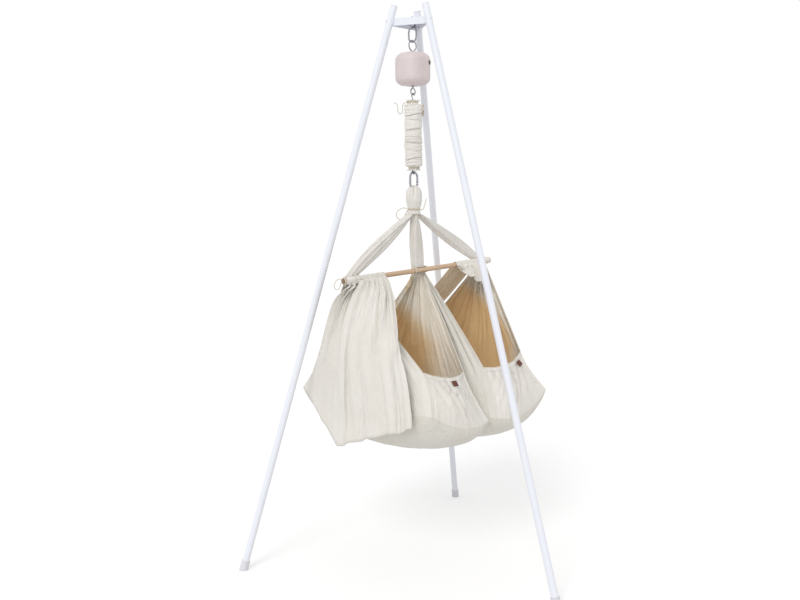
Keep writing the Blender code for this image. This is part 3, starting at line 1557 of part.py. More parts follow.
def drape_right_far(across, down):
    """Far half of the right cloth: stretched from the rod to beyond the far hem, like a sun cover."""
    start_x = HAMMOCK_X + lerp(DRAPE_RIGHT_X[0], DRAPE_RIGHT_X[1], across)
    start = over_rod(start_x, math.pi)
    end = Vector((HAMMOCK_X + lerp(0.075, 0.245, across), HAMMOCK_Y + HEM_Y + 0.052, HEM_Z + 0.012))
    sag = 0.018 * math.sin(math.pi * down)
    fold = 0.005 * math.sin(2 * math.pi * 2.5 * across) * math.sin(math.pi * min(1.0, down + 0.1))
    point = start.lerp(end, down)
    point.z -= sag + fold
    return point


def drape_sheet(near, far, rod_x, near_rows, far_rows, columns):
    """Open middle surface of a cloth over the rod, from its near lower edge to its far lower edge."""
    shape = bmesh.new()
    shares = [index / columns for index in range(columns + 1)]
    rows = [[near(share, 1 - step / near_rows) for share in shares] for step in range(near_rows)]
    for step in range(5):
        turn = math.pi * step / 4
        rows.append([over_rod(HAMMOCK_X + lerp(rod_x[0], rod_x[1], share), turn) for share in shares])
    rows += [[far(share, (step + 1) / far_rows) for share in shares] for step in range(far_rows)]
    sheet_grid(shape, rows)
    return shape


def make_drapes():
    sheets = {
        "drape_left": drape_sheet(drape_left_point, drape_left_back, DRAPE_LEFT_X, DRAPE_ROWS, 3, 12),
        "drape_right": drape_sheet(drape_right_near, drape_right_far, DRAPE_RIGHT_X, 3, 5, 8),
    }
    for name, shape in sheets.items():
        cloth = piece(name, shape, COTTON)
        thickness = cloth.modifiers.new("cloth_thickness", "SOLIDIFY")
        thickness.thickness = CLOTH * 0.8
        thickness.offset = 0.0


clear_scene()
STAND_AXIS = bpy.data.objects.new("stand_axis", None)
bpy.context.scene.collection.objects.link(STAND_AXIS)
STAND_AXIS.location.y = FOOT_CIRCLE_R * (1 - math.sin(math.radians(30))) / 2
make_stand()
make_links()
make_motor()
make_spring()
make_sleeve()
make_neck()
make_bunches()
make_rod()
make_bows()
make_pouches()
make_drapes()
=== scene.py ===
"""Double baby hammock on its stand: looks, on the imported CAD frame. Metres, +Z up."""

import json
import math
import random
from math import cos, exp, pi, radians, sin

import bmesh
import bpy
import numpy as np
from mathutils import Matrix, Vector, noise


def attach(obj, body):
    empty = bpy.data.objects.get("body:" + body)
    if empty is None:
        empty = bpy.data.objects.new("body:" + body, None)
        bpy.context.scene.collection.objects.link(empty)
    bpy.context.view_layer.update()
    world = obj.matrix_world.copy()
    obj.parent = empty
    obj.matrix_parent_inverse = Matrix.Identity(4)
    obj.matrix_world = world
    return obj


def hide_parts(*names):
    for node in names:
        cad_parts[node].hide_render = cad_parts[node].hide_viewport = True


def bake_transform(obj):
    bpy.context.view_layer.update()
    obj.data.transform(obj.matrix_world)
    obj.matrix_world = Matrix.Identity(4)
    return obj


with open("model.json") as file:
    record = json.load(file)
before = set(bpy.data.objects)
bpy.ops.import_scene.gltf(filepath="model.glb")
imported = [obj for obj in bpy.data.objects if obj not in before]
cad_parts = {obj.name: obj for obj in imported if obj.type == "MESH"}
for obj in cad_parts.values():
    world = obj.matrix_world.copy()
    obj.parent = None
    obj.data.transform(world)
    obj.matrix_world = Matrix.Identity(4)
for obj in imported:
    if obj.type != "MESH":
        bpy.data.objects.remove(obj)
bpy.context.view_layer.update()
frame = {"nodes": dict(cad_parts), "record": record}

# The frame's driving sizes. Heights and places are given from the stand's axis.
AXIS = Vector((0, 0.16175, 0))
HAMMOCK_X, HAMMOCK_Y = 0.021, -0.017
ROD_Z, ROD_LENGTH, ROD_R, ROD_TILT = 1.067, 0.750, 0.009, radians(2.8)
ROD_TIE_IN = 0.0055
HEM_Z, HEM_Y = 0.765, 0.262
HEM_PULLS = {(-1, -1): 0.045, (-1, 1): 0.052, (1, 1): 0.018, (1, -1): 0.070}
SEAM_Z_OUTER, SEAM_Z_INNER = 0.626, 0.566
POUCH_WIDTH, POUCH_LENGTH, POUCH_GAP, BASE_DEPTH = 0.310, 0.680, 0.008, 0.150
GATHER_HALF, CENTRE_GATHER = 0.023, 1.35
PLEATS, PLEAT_DEPTH = 5, 0.007
MATTRESS_THICKNESS = 0.030
NECK_TIE_Z, NECK_BOTTOM_Z, LINK_BAR_Z = 1.287, 1.270, 1.361
SLEEVE_TOP_Z, SLEEVE_BOTTOM_Z, SLEEVE_OUTER_R, SLEEVE_BORE_R = 1.674, 1.427, 0.0325, 0.0135
SLEEVE_WALL, SLEEVE_TIE_IN = 0.002, 0.0072
SPRING_HOOK_R, SPRING_WIRE_R, SPRING_COIL_R, SPRING_TURNS = 0.0075, 0.002, 0.020, 12
HOOK_TOP_Z, HOOK_LOW_Z = 1.6988, 1.4137
TIE_CORD_R = 0.0015
CLOTH, TOUCH = 0.003, 0.0003
DRAPE_CROSS, DRAPE_CROSS_DROP = 2 / 7, (0.037, 0.187)
DRAPE_LOW_Y, DRAPE_LOW_DROP = (0.092, -0.282), (0.611, 0.481)
DRAPE_CLEAR, DRAPE_FOLDS, DRAPE_FOLD_DEPTH = 0.011, 4, 0.012
DRAPE_RIGHT_X = (0.175, 0.315)

# Sizes of the looks alone
CLOTH_THICKNESS = 0.0014
CAMERA_SIDE, NECK_SLIT, DRAW_KNOT_SIDE = radians(226), radians(232), radians(-43)
WING, WING_END_Y, WING_END_Z = 0.42, 0.302, 0.628
FILL_CAP = 0.007

# Values that follow from them
ROD_SLOPE = math.tan(ROD_TILT)
ROD_AHEAD = Vector((cos(ROD_TILT), 0, sin(ROD_TILT)))
ROD_UP = Vector((-sin(ROD_TILT), 0, cos(ROD_TILT)))
TIE_PLACES = {
    "left": ROD_TIE_IN - ROD_LENGTH / 2,
    "centre": -CENTRE_GATHER * GATHER_HALF - 0.006,
    "right": ROD_LENGTH / 2 - ROD_TIE_IN,
}
GATHERS = {
    "left": HAMMOCK_X - ROD_LENGTH / 2 + GATHER_HALF + 0.012,
    "centre": HAMMOCK_X,
    "right": HAMMOCK_X + ROD_LENGTH / 2 - GATHER_HALF - 0.012,
}
GATHER_FRONT_Y = HAMMOCK_Y + ROD_R + TOUCH + CLOTH / 2 + 0.0004
GATHER_BACK_Y = GATHER_FRONT_Y + CLOTH + 0.0012
HEM_SHARE = (HEM_Z - SEAM_Z_OUTER) / (ROD_Z - SEAM_Z_OUTER)


def lerp(first, second, share):
    return first + (second - first) * share


def ease(share):
    share = min(1.0, max(0.0, share))
    return share * share * (3 - 2 * share)


def hump(value, middle, half):
    """1 at the middle, falling off smoothly on both sides."""
    return exp(-(((value - middle) / half) ** 2))


def shares(count):
    """From 0 to 1 in count even steps."""
    return [index / count for index in range(count + 1)]


def turns(count):
    """Angles of count even steps round a ring."""
    return [2 * pi * step / count for step in range(count)]


def uneven(x, y, z):
    """A value between -1 and 1 that changes smoothly from place to place."""
    return noise.noise(Vector((x, y, z)))


def uneven_round(turn, size, along):
    """The same on a ring, which it goes round without a jump."""
    return uneven(cos(turn) * size, sin(turn) * size, along)


# Camera, where the photographer stood

def make_camera():
    distance, height = 3.116, 1.290
    yaw, pitch, roll, round_stand = (radians(a) for a in (-1.0, -6.1, -0.62, -44.3))
    ahead = Vector((sin(yaw) * cos(pitch), cos(yaw) * cos(pitch), sin(pitch)))
    right = Vector((cos(yaw), -sin(yaw), 0))
    up = right.cross(ahead)
    turned_right = right * cos(roll) + up * sin(roll)
    turned_up = -right * sin(roll) + up * cos(roll)
    place = Matrix((turned_right, turned_up, -ahead)).transposed().to_4x4()
    place.translation = Vector((0, -distance, height))
    lens = bpy.data.cameras.new("camera")
    lens.lens, lens.sensor_width = 38.475, 36
    camera = bpy.data.objects.new("camera", lens)
    bpy.context.collection.objects.link(camera)
    camera.matrix_world = Matrix.Translation(AXIS) @ Matrix.Rotation(round_stand, 4, "Z") @ place
    bpy.context.scene.camera = camera


# Meshes

class Mesh:
    """Points, faces, flat cloth places and named shades of one piece, from grids."""

    def __init__(self):
        self.points, self.faces, self.places = [], [], []
        # tan is the share of painted shade inside the pouches; hem is the distance from a sewn edge.
        self.shades = {"tan": [], "hem": []}

    def grid(self, rows, width, length, tan=None, hem=None, closed=False, flip=False):
        """Rows of points. Closed rows meet themselves. Width and length are the flat cloth's."""
        rows = np.asarray(rows, float)
        count, across = rows.shape[:2]
        steps = across if closed else across - 1
        start = len(self.points)
        self.points.extend(rows.reshape(-1, 3))
        for i in range(count):
            for j in range(across):
                self.places.append((j / steps * width, i / (count - 1) * length))
        for name, values, plain in (("tan", tan, 0.0), ("hem", hem, 1.0)):
            filled = np.full((count, across), plain) if values is None else np.asarray(values)
            self.shades[name].extend(filled.reshape(-1))
        for i in range(count - 1):
            for j in range(steps):
                a, b = start + i * across + j, start + i * across + (j + 1) % across
                face = (a, b, b + across, a + across)
                self.faces.append(face[::-1] if flip else face)
        return self

    def cap(self, start, count, flip=False):
        """Closes a ring with a fan round its middle."""
        ring = range(start, start + count)
        self.points.append(np.mean([self.points[i] for i in ring], axis=0))
        self.places.append(self.places[start])
        for values in self.shades.values():
            values.append(values[start])
        centre = len(self.points) - 1
        for index in range(count):
            face = (ring[index], ring[(index + 1) % count], centre)
            self.faces.append(face[::-1] if flip else face)

    def build(self, name, *looks):
        """Makes the object, with its cloth places as UV and its shades as attributes."""
        mesh = bpy.data.meshes.new(name)
        points = np.array(self.points) + np.array(AXIS)
        mesh.from_pydata(points.tolist(), [], self.faces)
        layer = mesh.uv_layers.new(name="cloth")
        corners = np.zeros(len(mesh.loops), np.int32)
        mesh.loops.foreach_get("vertex_index", corners)
        layer.data.foreach_set("uv", np.array(self.places, np.float32)[corners].reshape(-1))
        for shade, values in self.shades.items():
            attribute = mesh.attributes.new(shade, "FLOAT", "POINT")
            attribute.data.foreach_set("value", np.array(values, np.float32))
        smooth(mesh)
        made = bpy.data.objects.new(name, mesh)
        bpy.context.collection.objects.link(made)
        for look in looks:
            mesh.materials.append(LOOKS[look])
        return made


def smooth(mesh):
    mesh.polygons.foreach_set("use_smooth", [True] * len(mesh.polygons))


def weld(piece):
    shape = bmesh.new()
    shape.from_mesh(piece.data)
    bmesh.ops.remove_doubles(shape, verts=shape.verts, dist=0.00002)
    shape.to_mesh(piece.data)
    shape.free()


def thicken(piece, thickness=CLOTH_THICKNESS, offset=0, inside=0):
    modifier = piece.modifiers.new("thickness", "SOLIDIFY")
    modifier.thickness, modifier.offset = thickness, offset
    modifier.material_offset = inside
    modifier.use_even_offset = False
    return piece


def ready(piece, node=None, body="hammock"):
    """The piece rides on its body and stands for its node, which is hidden."""
    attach(piece, body)
    if node:
        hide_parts(node)
    return piece


def ready_to_stretch(piece, node):
    """For a piece that joins the motor's output to the hammock: its node is hidden and its place is baked
    into its mesh, on no body.
    """
    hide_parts(node)
    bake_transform(piece)


def normals(rows):
    """Unit normals of a grid of points."""
    rows = np.asarray(rows, float)
    cross = np.cross(np.gradient(rows, axis=1), np.gradient(rows, axis=0))
    size = np.linalg.norm(cross, axis=2, keepdims=True)
    return cross / np.maximum(size, 1e-9)


def looks_away(rows, toward):
    """Whether the grid's faces look away from toward, so that they need turning over."""
    return (normals(rows).mean(axis=(0, 1)) * np.array(toward)).sum() < 0


def pushed(rows, amounts, toward):
    """The grid moved along its normals, which are turned to the same side as toward."""
    side = -1 if looks_away(rows, toward) else 1
    return np.asarray(rows, float) + side * normals(rows) * np.asarray(amounts, float)[..., None]


def add_cloth(mesh, rows, folds, toward, size, tan=None, hem=None):
    """Adds a grid that its folds push out toward one side. Gives the points where they came to lie."""
    moved = pushed(rows, folds, toward)
    mesh.grid(moved, *size, tan, hem, flip=looks_away(moved, toward))
    return moved


def add_tube(mesh, path, radii, sides=8, closed=False):
    """Adds a tube with capped ends along the path. Its rings turn no more than the path bends."""
    path = [Vector(point) for point in path]
    count = len(path)
    radii = radii if isinstance(radii, list) else [radii] * count
    tangents = []
    for index in range(count):
        before = path[(index - 1) % count if closed else max(index - 1, 0)]
        after = path[(index + 1) % count if closed else min(index + 1, count - 1)]
        tangents.append((after - before).normalized())
    side = tangents[0].orthogonal().normalized()
    rows = []
    for index, (point, ahead, reach) in enumerate(zip(path, tangents, radii)):
        if index:
            side = tangents[index - 1].rotation_difference(ahead) @ side
        side = (side - ahead * side.dot(ahead)).normalized()
        up = ahead.cross(side)
        rows.append([point + side * (reach * cos(t)) + up * (reach * sin(t)) for t in turns(sides)])
    if closed:
        rows.append(rows[0])
    start = len(mesh.points)
    mesh.grid(rows, 2 * pi * max(radii), path_length(path), closed=True)
    if not closed:
        mesh.cap(start, sides)
        mesh.cap(start + sides * (count - 1), sides, flip=True)


def curve_through(controls, steps=8):
    """Smooth curve through the control points."""
    points = [Vector(point) for point in controls]
    padded = [2 * points[0] - points[1], *points, 2 * points[-1] - points[-2]]
    path = []
    for index in range(1, len(padded) - 2):
        a, b, c, d = padded[index - 1 : index + 3]
        for step in range(steps):
            t = step / steps
            bend = (2 * a - 5 * b + 4 * c - d) * t * t + (3 * b - a - 3 * c + d) * t**3
            path.append(b + 0.5 * ((c - a) * t + bend))
    path.append(points[-1])
    return path


def path_length(path):
    return sum((b - a).length for a, b in zip(path, path[1:]))


# Materials

def linear(red, green, blue):
    """A colour as the shader takes it, from 0 to 255 values on a screen."""
    channels = []
    for value in (red, green, blue):
        value /= 255
        channels.append(value / 12.92 if value <= 0.04045 else ((value + 0.055) / 1.055) ** 2.4)
    return (*channels, 1)


def darker(color, share):
    return tuple(channel * share for channel in color[:3]) + (1,)


class Nodes:
    """A node tree and short ways to add to it."""

    def __init__(self, tree):
        self.tree = tree

    def add(self, kind, inputs=None, **settings):
        made = self.tree.nodes.new("ShaderNode" + kind)
        for key, value in settings.items():
            setattr(made, key, value)
        for socket, value in (inputs or {}).items():
            if isinstance(value, bpy.types.NodeSocket):
                self.tree.links.new(value, made.inputs[socket])
            else:
                made.inputs[socket].default_value = value
        return made

    def stretched(self, source="Object", scale=(1, 1, 1), turn=0.0):
        place = self.add("TexCoord").outputs[source]
        settings = {"Vector": place, "Scale": scale, "Rotation": (0, 0, turn)}
        return self.add("Mapping", settings).outputs["Vector"]

    def noise(self, vector, scale, detail=3.0, roughness=0.5, distortion=0.0):
        settings = {"Vector": vector, "Scale": scale, "Detail": detail, "Roughness": roughness}
        settings["Distortion"] = distortion
        return self.add("TexNoise", settings).outputs["Fac"]

    def ramp(self, value, low, high, to_low=0.0, to_high=1.0):
        settings = {0: value, 1: low, 2: high, 3: to_low, 4: to_high}
        return self.add("MapRange", settings).outputs[0]

    def math(self, operation, first, second=0.0):
        return self.add("Math", {0: first, 1: second}, operation=operation).outputs[0]

    def mix(self, share, first, second):
        return self.add("Mix", {0: share, 6: first, 7: second}, data_type="RGBA").outputs[2]

    def bump(self, height, distance, strength=1.0, under=None):
        settings = {"Height": height, "Distance": distance, "Strength": strength}
        if under:
            settings["Normal"] = under
        return self.add("Bump", settings).outputs["Normal"]

    def seen(self):
        """1 where the camera sees it, straight or in a mirror or through glass."""
        rays = self.add("LightPath").outputs
        seen = self.math("MAXIMUM", rays["Is Camera Ray"], rays["Is Glossy Ray"])
        return self.math("MAXIMUM", seen, rays["Is Transmission Ray"])


class Look(Nodes):
    """A material. The keywords are the shader's values that are the same all over."""

    def __init__(self, name, **sockets):
        self.material = bpy.data.materials.new(name)
        self.material.use_nodes = True
        super().__init__(self.material.node_tree)
        self.shader = self.tree.nodes["Principled BSDF"]
        for socket, value in sockets.items():
            self.shader.inputs[socket.replace("_", " ")].default_value = value

    def finish(self, color, roughness, normal):
        for socket, value in (("Base Color", color), ("Roughness", roughness), ("Normal", normal)):
            self.tree.links.new(value, self.shader.inputs[socket])
        return self.material


def cotton(name, light, dark, painted_shade_light=None, painted_shade_dark=None, wrinkle=1.0):
    """Plain undyed cotton: uneven threads, a fine weave, soft creases and a sewn hem. Given shade colours,
    it also paints tan shade where the tan attribute asks.
    """
    look = Look(name, Sheen_Weight=0.12, Sheen_Roughness=0.5, Specular_IOR_Level=0.2)
    place, cloth = look.stretched(), look.stretched("UV")
    warp, weft = look.stretched("UV", (1100, 60, 1)), look.stretched("UV", (60, 1100, 1))
    threads = look.math("ADD", look.noise(warp, 1.0, 2), look.noise(weft, 1.0, 2))
    clouds = look.noise(place, 7.0, 4, 0.6)
    shade = look.math("ADD", look.ramp(threads, 0.7, 1.3, 0, 0.45), look.ramp(clouds, 0.3, 0.7, 0, 0.55))
    color = look.mix(shade, linear(*dark), linear(*light))
    # Painted shade: two tans mixed in by the tan attribute, with a little random patchiness.
    if painted_shade_light:
        inside = look.add("Attribute", attribute_name="tan").outputs["Fac"]
        patchy = look.math("ADD", inside, look.ramp(look.noise(place, 16.0, 3), 0, 1, -0.08, 0.08))
        color = look.mix(look.ramp(patchy, 0.0, 0.55), color, linear(*painted_shade_light))
        color = look.mix(look.ramp(patchy, 0.55, 1.0), color, linear(*painted_shade_dark))
    edge = look.add("Attribute", attribute_name="hem").outputs["Fac"]
    line = look.math("ABSOLUTE", look.math("SUBTRACT", edge, 0.0105))
    stitches = look.ramp(line, 0.0004, 0.0009, 1, 0)
    color = look.mix(look.math("MULTIPLY", stitches, 0.35), color, linear(168, 158, 138))
    folded = look.ramp(edge, 0.0115, 0.0125, 1, 0)
    fine = look.math("ADD", look.math("MULTIPLY", threads, 0.5), look.math("MULTIPLY", folded, 0.8))
    fine = look.math("SUBTRACT", fine, look.math("MULTIPLY", stitches, 0.8))
    across = look.add("TexWave", {"Vector": cloth, "Scale": 210.0}, bands_direction="X")
    along = look.add("TexWave", {"Vector": cloth, "Scale": 210.0}, bands_direction="Y")
    crossed = look.math("MULTIPLY", across.outputs["Fac"], along.outputs["Fac"])
    fine = look.math("ADD", fine, look.math("MULTIPLY", crossed, 0.35))
    creases = look.noise(place, 26.0, 6, 0.55, 0.9)
    long_creases = look.noise(look.stretched("UV", (48, 7, 1)), 1.0, 4, 0.55, 0.6)
    soft = look.bump(long_creases, 0.010 * wrinkle, 0.7, look.bump(creases, 0.0045 * wrinkle, 0.7))
    return look.finish(color, look.ramp(clouds, 0, 1, 0.82, 0.96), look.bump(fine, 0.0005, 0.8, soft))


def cord_look(name, light, dark):
    """Twisted cotton cord."""
    look = Look(name, Sheen_Weight=0.1, Specular_IOR_Level=0.2)
    twist = look.stretched("UV", turn=radians(38))
    strands = look.add("TexWave", {"Vector": twist, "Scale": 150.0, "Distortion": 1.0}).outputs["Fac"]
    fuzz = look.noise(look.stretched(), 900.0, 2)
    share = look.math("MULTIPLY", strands, look.ramp(fuzz, 0, 1, 0.7, 1.2))
    color = look.mix(share, linear(*dark), linear(*light))
    return look.finish(color, look.ramp(fuzz, 0, 1, 0.8, 0.95), look.bump(strands, 0.0006, 0.8))


def powder_coat(name, color):
    """Sprayed and baked paint: fine pebbling, faint handling marks."""
    look = Look(name, Specular_IOR_Level=0.45, Coat_Weight=0.05, Coat_Roughness=0.3)
    pebbles = look.noise(look.stretched(), 950.0, 2)
    marks = look.noise(look.stretched("Object", (40, 40, 6)), 1.0, 5, 0.7)
    tint = look.mix(look.ramp(marks, 0.5, 0.72), color, darker(color, 0.97))
    return look.finish(tint, look.ramp(marks, 0.3, 0.8, 0.34, 0.5), look.bump(pebbles, 0.0001, 0.10))


def metal(name, color, low, high, scratches=(400, 400, 30)):
    """Bare metal with drawing scratches and slightly uneven polish."""
    look = Look(name, Metallic=1.0)
    lines = look.noise(look.stretched("Object", scratches), 1.0, 4, 0.65)
    stains = look.noise(look.stretched(), 60.0, 3)
    tint = look.mix(look.ramp(stains, 0.35, 0.75), color, darker(color, 0.78))
    return look.finish(tint, look.ramp(lines, 0.3, 0.7, low, high), look.bump(lines, 0.00008, 0.4))


def moulded(name, color, grain=700.0, rough=(0.42, 0.55), depth=0.00012):
    """Moulded plastic or rubber with a spark-eroded grain."""
    look = Look(name, Specular_IOR_Level=0.4)
    place = look.stretched()
    texture = look.noise(place, grain, 3, 0.6)
    clouds = look.noise(place, 22.0, 3)
    tint = look.mix(look.ramp(clouds, 0.3, 0.7), color, darker(color, 0.93))
    return look.finish(tint, look.ramp(texture, 0.3, 0.7, *rough), look.bump(texture, depth, 0.6))


def wood(name):
    """Turned beech: grain along the rod, short flecks, darker and worn at the ends."""
    look = Look(name, Specular_IOR_Level=0.35)
    grain = look.noise(look.stretched("Object", (7, 150, 150)), 1.0, 6, 0.65, 0.6)
    flecks = look.noise(look.stretched("Object", (60, 900, 900)), 1.0, 2, 0.5)
    color = look.mix(look.ramp(grain, 0.3, 0.7), linear(196, 166, 136), linear(217, 191, 162))
    color = look.mix(look.ramp(flecks, 0.6, 0.75, 0, 0.5), color, linear(170, 138, 108))
    along = look.add("SeparateXYZ", {0: look.stretched()}).outputs["X"]
    ends = look.math("ABSOLUTE", look.math("SUBTRACT", along, HAMMOCK_X))
    color = look.mix(look.ramp(ends, 0.366, 0.3725, 0, 0.8), color, linear(108, 88, 72))
    return look.finish(color, look.ramp(grain, 0.2, 0.8, 0.48, 0.64), look.bump(flecks, 0.0002, 0.5))


def leather(name):
    """Brown leather with pores and an uneven colour."""
    look = Look(name, Specular_IOR_Level=0.4)
    place = look.stretched()
    pores = look.add("TexVoronoi", {"Vector": place, "Scale": 900.0}).outputs["Distance"]
    clouds = look.noise(place, 120.0, 4, 0.6)
    color = look.mix(look.ramp(clouds, 0.3, 0.7), linear(92, 50, 36), linear(112, 66, 48))
    return look.finish(color, look.ramp(pores, 0, 0.8, 0.5, 0.75), look.bump(pores, 0.0003, 0.6))


# Inside cotton: a cream a little lighter than the outside's, as painted light against the shade in the
# pouch, then the light and dark tans of painted shade.
INSIDE_AND_PAINTED_SHADE_COLOURS = (246, 242, 232), (240, 232, 218), (238, 216, 180), (232, 198, 148)
LOOKS = {
    "white_steel": powder_coat("white_powder_coat", linear(236, 238, 246)),
    "bright_steel": metal("bright_steel", linear(176, 176, 182), 0.16, 0.32),
    "housing": moulded("pink_plastic", linear(224, 210, 210)),
    "dark_plastic": moulded("dark_plastic", linear(78, 62, 54), 900.0, (0.35, 0.5)),
    "grey_plastic": moulded("grey_plastic", linear(120, 122, 126)),
    "rubber": moulded("rubber", linear(222, 222, 226), 500.0, (0.6, 0.75), 0.0002),
    "brass": metal("brass", linear(196, 164, 98), 0.22, 0.4, (200, 200, 200)),
    "wood": wood("turned_beech"),
    "leather": leather("brown_leather"),
    "cotton": cotton("cotton", (238, 235, 229), (229, 224, 215)),
    # Inside cotton, with painted light in its cream and painted tan shade.
    "cotton_inside_painted_shade": cotton("cotton_inside_painted_shade", *INSIDE_AND_PAINTED_SHADE_COLOURS),
    "cotton_gathered": cotton("cotton_gathered", (238, 235, 230), (227, 222, 214), wrinkle=0.6),
    # Darker copy of the cotton for the pouch's underside: painted shade, as it faces down.
    "cotton_base_painted_shade": cotton("cotton_base_painted_shade", (232, 229, 221), (222, 217, 207)),
    # Warmer copy of the cotton for the right cloth's far part: painted shade where it hangs behind the
    # rod.
    "cotton_far_painted_shade": cotton("cotton_far_painted_shade", (246, 233, 213), (240, 222, 196)),
    "piping": cord_look("piping", (240, 236, 226), (226, 219, 204)),
    "cord": cord_look("cord", (238, 231, 216), (212, 200, 178)),
    "mattress_cloth": cotton("mattress_cloth", (224, 212, 192), (206, 190, 164), wrinkle=0.4),
}


def dress_nodes():
    """Each CAD node that stays gets the look of its record slot."""
    for part in frame["record"]["subparts"]:
        mesh = frame["nodes"][part["node"]].data
        smooth(mesh)
        mesh.set_sharp_from_angle(angle=radians(35))
        mesh.materials.clear()
        mesh.materials.append(LOOKS[part["material_slot"]])


# Tie cords and their free ends, in millimetres from the tie. The sleeve's are given round it.

NECK_BOW_LEFT = (
    (-21.7, 9.7, 1.8), (-32.0, 24.0, 5.0), (-44.0, 36.0, -3.0), (-50.0, 41.0, -18.0),
    (-45.0, 37.0, -33.0), (-35.0, 28.0, -36.0), (-29.0, 20.0, -24.0), (-21.7, 9.7, -1.8),
)
NECK_BOW_RIGHT = (
    (21.7, -9.7, 0.0), (26.0, -13.6, -2.2), (29.8, -17.4, 1.0), (31.7, -20.4, 9.2),
    (33.0, -23.0, 19.0), (35.0, -25.2, 30.0), (36.8, -27.0, 39.0),
)
ROD_BOW = (
    (-1.0, 11.4, 5.3), (-4.0, 20.0, 7.0), (-9.0, 29.0, 2.0), (-13.5, 34.5, -9.0), (-14.0, 35.0, -21.0),
    (-10.0, 30.0, -29.0), (-4.0, 23.5, -27.0), (0.0, 20.0, -16.0), (1.0, 18.0, -7.0), (1.0, 12.6, -1.1),
)
SLEEVE_BOW = (
    (19.1, 128.0, 0.0), (25.0, 129.0, 0.6), (31.5, 130.5, -1.0), (36.5, 132.0, -7.0),
    (38.2, 134.0, -18.0), (38.5, 136.0, -29.0), (42.0, 138.0, -37.5), (48.5, 139.5, -39.5),
    (54.0, 141.0, -33.0), (55.2, 141.5, -22.0), (56.0, 141.5, -11.0), (61.2, 140.0, -3.0),
    (69.0, 138.5, -1.5),
)


def rod_point(along):
    """A place on the rod's axis, from its middle."""
    return Vector((HAMMOCK_X, HAMMOCK_Y, ROD_Z)) + ROD_AHEAD * along


def make_bows():
    """Loops and free ends of the tie cords, each a cord of its own."""
    sleeve_route = []
    for radius, degrees, rise in SLEEVE_BOW:
        turn = radians(degrees)
        sleeve_route.append((radius * cos(turn), radius * sin(turn), rise))
    neck = (0, 0, NECK_TIE_Z)
    sleeve = (0, 0, SLEEVE_TOP_Z - SLEEVE_TIE_IN)
    routes = (
        ("neck_bow_left", "hammock", NECK_BOW_LEFT, neck, "object"),
        ("neck_bow_right", "hammock", NECK_BOW_RIGHT, neck, "bare"),
        ("rod_bow", "hammock", ROD_BOW, rod_point(TIE_PLACES["left"]), "object"),
        ("sleeve_bow", "spring_unit", sleeve_route, sleeve, "bare"),
    )
    for node, body, route, centre, far_end in routes:
        path = curve_through([Vector(point) * 0.001 + Vector(centre) for point in route])
        mesh = Mesh()
        add_tube(mesh, path, TIE_CORD_R, 10)
        bow = ready(mesh.build(node + "_cord", "cord"), node, body)


def add_knot(mesh, centre, size, turn):
    """Small overhand knot, as a closed three-lobed curve."""
    path = []
    for t in turns(40):
        point = Vector((sin(t) + 2 * sin(2 * t), -sin(3 * t), cos(t) - 2 * cos(2 * t)))
        path.append(Vector(centre) + Matrix.Rotation(turn, 3, "Z") @ (point * size))
    add_tube(mesh, path, TIE_CORD_R, closed=True)


def wound(centre, half_x, half_y, matrix, start):
    """Path of a cord wound twice round an oval, from one side of its plane to the other."""
    path = []
    for share in shares(56):
        turn = start + 4 * pi * share
        point = Vector((half_x * cos(turn), half_y * sin(turn), 0.0058 * (share - 0.5)))
        path.append(Vector(centre) + matrix @ point)
    return path


def make_draw_knots():
    """Knotted ends of the sleeve's draw cord, bunched against its upper side."""
    mesh = Mesh()
    chooser = random.Random(5)
    for index in range(6):
        turn = DRAW_KNOT_SIDE + radians(chooser.uniform(-24, 24))
        reach = SLEEVE_OUTER_R + 0.0030
        place = Vector((reach * cos(turn), reach * sin(turn), 1.656 - 0.0068 * index))
        add_knot(mesh, place, chooser.uniform(0.0011, 0.0017), turn + chooser.uniform(-0.6, 0.6))
    ready(mesh.build("sleeve_draw_knots", "cord"), body="spring_unit")


def make_ties():
    """Cords wound twice round the sleeve's ends, the neck and the rod, each with its knot."""
    ring = SLEEVE_BORE_R + SLEEVE_WALL + TOUCH + TIE_CORD_R
    rod_ring = ROD_R + TOUCH + TIE_CORD_R
    half_x, half_y = neck_section(NECK_TIE_Z)
    upright = Matrix.Identity(3)
    along_rod = Matrix.Rotation(radians(90) - ROD_TILT, 3, "Y")
    high, low = SLEEVE_TOP_Z - SLEEVE_TIE_IN, SLEEVE_BOTTOM_Z + SLEEVE_TIE_IN
    ties = [
        ("sleeve_tie_top", "spring_unit", (0, 0, high), ring, ring, upright, 128),
        ("sleeve_tie_bottom", "hammock", (0, 0, low), ring, ring, upright, 300),
        ("neck_tie", "hammock", (0, 0, NECK_TIE_Z), half_x + 0.0012, half_y + 0.0012, upright, 205),
    ]
    for side, along in TIE_PLACES.items():
        ties.append(("rod_tie_" + side, "hammock", rod_point(along), rod_ring, rod_ring, along_rod, 100))
    for node, body, centre, reach_x, reach_y, matrix, knot in ties:
        mesh = Mesh()
        start = radians(knot)
        add_tube(mesh, wound(centre, reach_x, reach_y, matrix, start), TIE_CORD_R)
        at = Vector((reach_x * cos(start), reach_y * sin(start), 0)) * 1.08
        place = Vector(centre) + matrix @ at
        add_knot(mesh, place, 0.0012, start)
        if node == "rod_tie_left":
            add_knot(mesh, place + Vector((0.004, -0.004, -0.009)), 0.0016, 1.1)
            add_knot(mesh, place + Vector((0.010, -0.006, -0.016)), 0.0014, 2.3)
        ready(mesh.build(node + "_cord", "cord"), node, body)


# Spring and sleeve

def hook(centre_z, start):
    """Arc of the spring's hook, from an angle on."""
    path = []
    for share in shares(10):
        turn = radians(start - 220 * share)
        path.append(Vector((0, SPRING_HOOK_R * cos(turn), centre_z + SPRING_HOOK_R * sin(turn))))
    return path


